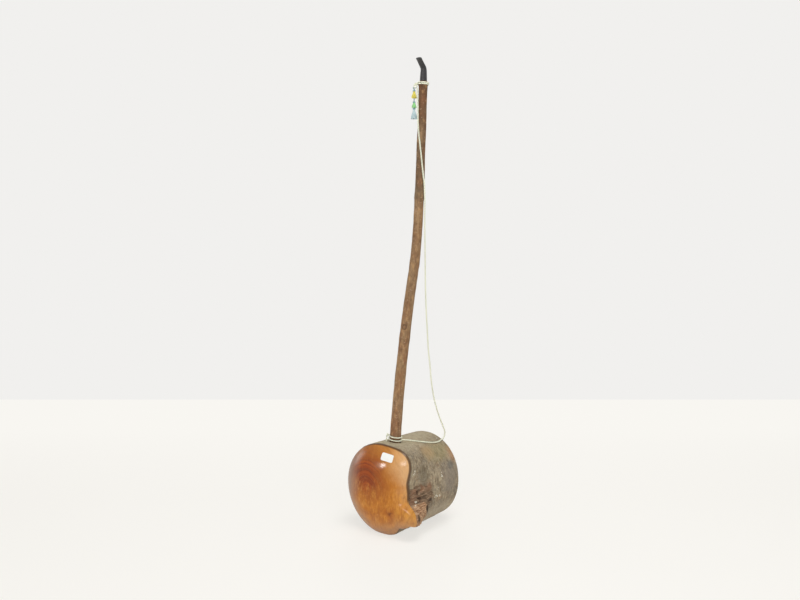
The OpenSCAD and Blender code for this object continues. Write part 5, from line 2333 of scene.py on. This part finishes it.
@dataclass
class Studio:
    """The pale floor, the soft lights and the camera at the photograph's angle."""

    target: Point = (-0.0156, 0.001, 0.4966)
    azimuth: float = 38.0
    pitch: float = 6.53
    distance: float = 1.8198
    lens: float = 37.485
    sensor: float = 36.0
    fill: float = 0.268
    fill_tone: tuple[float, ...] = (1.0, 0.98, 0.95, 1.0)
    background: Colour = (241, 240, 238)
    floor_back: float = 1.17
    floor_front: float = 1.9
    floor_half_width: float = 1.9
    floor_drop: float = 0.0004
    lamps: tuple[Softbox, ...] = (
        Softbox("key", 70, 74, 2.6, (2.4, 2.4), 146),
        Softbox("front", 21, 6, 3.3, (1.7, 2.0), 89),
        Softbox("left", -76, 5, 3.3, (2.2, 1.9), 38),
        Softbox("side", 62, 14, 3.3, (1.8, 1.8), 56, in_gloss=False),
        Softbox("back", 218, 26, 3.3, (2.4, 2.0), 70, in_gloss=False),
        Softbox("window", -31.5, -1.6, 3.3, (0.20, 0.60), 38),
    )

    def build_floor(self) -> None:
        """Lay the floor square to the camera."""
        azimuth = math.radians(self.azimuth)
        away = np.array([-math.sin(azimuth), math.cos(azimuth), 0])
        right = np.array([math.cos(azimuth), math.sin(azimuth), 0])
        drop, wide = np.array([0, 0, -self.floor_drop]), self.floor_half_width * right
        near, far = -self.floor_front * away, self.floor_back * away
        corners = [near - wide, near + wide, far + wide, far - wide]
        finish = Backdrop(tuple(away.tolist())).material()
        stage = Shell(np.array(corners) + drop, [(0, 1, 2, 3)]).to_object("floor", finish)
        if stage.data.polygons[0].normal.z < 0:
            stage.data.flip_normals()

    def build_world(self) -> None:
        """Light the scene from all round, with a pale background where it is seen directly."""
        world = bpy.data.worlds.new("studio")
        world.use_nodes = True
        bpy.context.scene.world = world
        g = Graph(world.node_tree)
        seen = g.seen_directly()
        feeds = {0: seen, 6: self.fill_tone, 7: linear(self.background)}
        colour = g.add("ShaderNodeMix", feeds, data_type="RGBA").outputs[2]
        strength = g.math("MULTIPLY_ADD", seen, 1 - self.fill, self.fill)
        feeds = {"Color": colour, "Strength": strength}
        shade = g.add("ShaderNodeBackground", feeds).outputs[0]
        g.tree.links.new(shade, g.tree.nodes["World Output"].inputs["Surface"])

    def build_camera(self) -> None:
        """Place the camera."""
        back = heading(self.azimuth, self.pitch)
        data = bpy.data.cameras.new("view")
        data.lens, data.sensor_width, data.clip_start = self.lens, self.sensor, 0.01
        camera = bpy.data.objects.new("view", data)
        camera.location = Vector(self.target) + self.distance * back
        camera.rotation_euler = back.to_track_quat("Z", "Y").to_euler()
        bpy.context.scene.collection.objects.link(camera)
        bpy.context.scene.camera = camera

    def build(self) -> None:
        """Build the floor, the world, the lights and the camera."""
        self.build_floor()
        self.build_world()
        for lamp in self.lamps:
            lamp.build()
        self.build_camera()


def dress_corks(finish: Material) -> None:
    """Give the two cork sleeves, whose CAD shapes are right, their finish.

    Args:
        finish: The finish.
    """
    for node in ("stem_cork", "bit_cork"):
        sleeve = bpy.data.objects[node]
        sleeve.data.materials.clear()
        sleeve.data.materials.append(finish)
        LOG.info("%s keeps its CAD shape", node)


def fibre_finishes() -> dict[Slot, Material]:
    """Return the finishes of the twine and the yarns."""
    tones = {
        Slot.CORD_TWINE: ((244, 239, 220), (238, 236, 216), (214, 226, 200), (196, 196, 172)),
        Slot.TEAL_YARN: ((104, 156, 164), (124, 170, 176), (144, 184, 186), (78, 122, 132)),
        Slot.YELLOW_YARN: ((228, 212, 74), (224, 210, 92), (236, 228, 128), (192, 172, 70)),
        Slot.GREEN_YARN: ((140, 210, 132), (160, 220, 150), (182, 230, 172), (108, 172, 110)),
        Slot.BLUE_YARN: ((192, 212, 216), (206, 222, 224), (180, 206, 208), (154, 180, 188)),
    }
    return {slot: Fibre(slot.value, t[:3], t[3]).material() for slot, t in tones.items()}


def main() -> None:
    """Build the studio and the pipe's sub-assemblies."""
    logging.basicConfig(level=logging.INFO, format="%(name)s: %(message)s")
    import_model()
    bpy.context.scene.view_settings.view_transform = "Standard"
    Studio().build()

    fibres = fibre_finishes()
    tuft, flecks, binding = yarn_tuft(), fleck_scatter(), thread_binding()
    log = LogForm()
    stem = StemForm(log)
    cord = PipeCord(stem, fibres[Slot.CORD_TWINE], tuft)
    cord.build_run()
    cord.build_ties()
    LogBowl(log, stem, VarnishedWood().material()).build()
    speck = Fleck("bark_speck", (232, 228, 214), (178, 170, 150)).material()
    BarkJacket(log, stem, LogBark().material(), speck, flecks).build()
    PaperSticker(log, LabelPaper().material()).build()
    lenticel = Fleck("lenticel", (186, 158, 128), (140, 110, 84)).material()
    StemBranch(stem, BranchBark().material(), lenticel, flecks).build()
    Mouthpiece(stem, HardRubber().material()).build()
    Tassel(cord, fibres, tuft, binding).build()
    dress_corks(Cork().material())


if __name__ == "__main__":
    main()
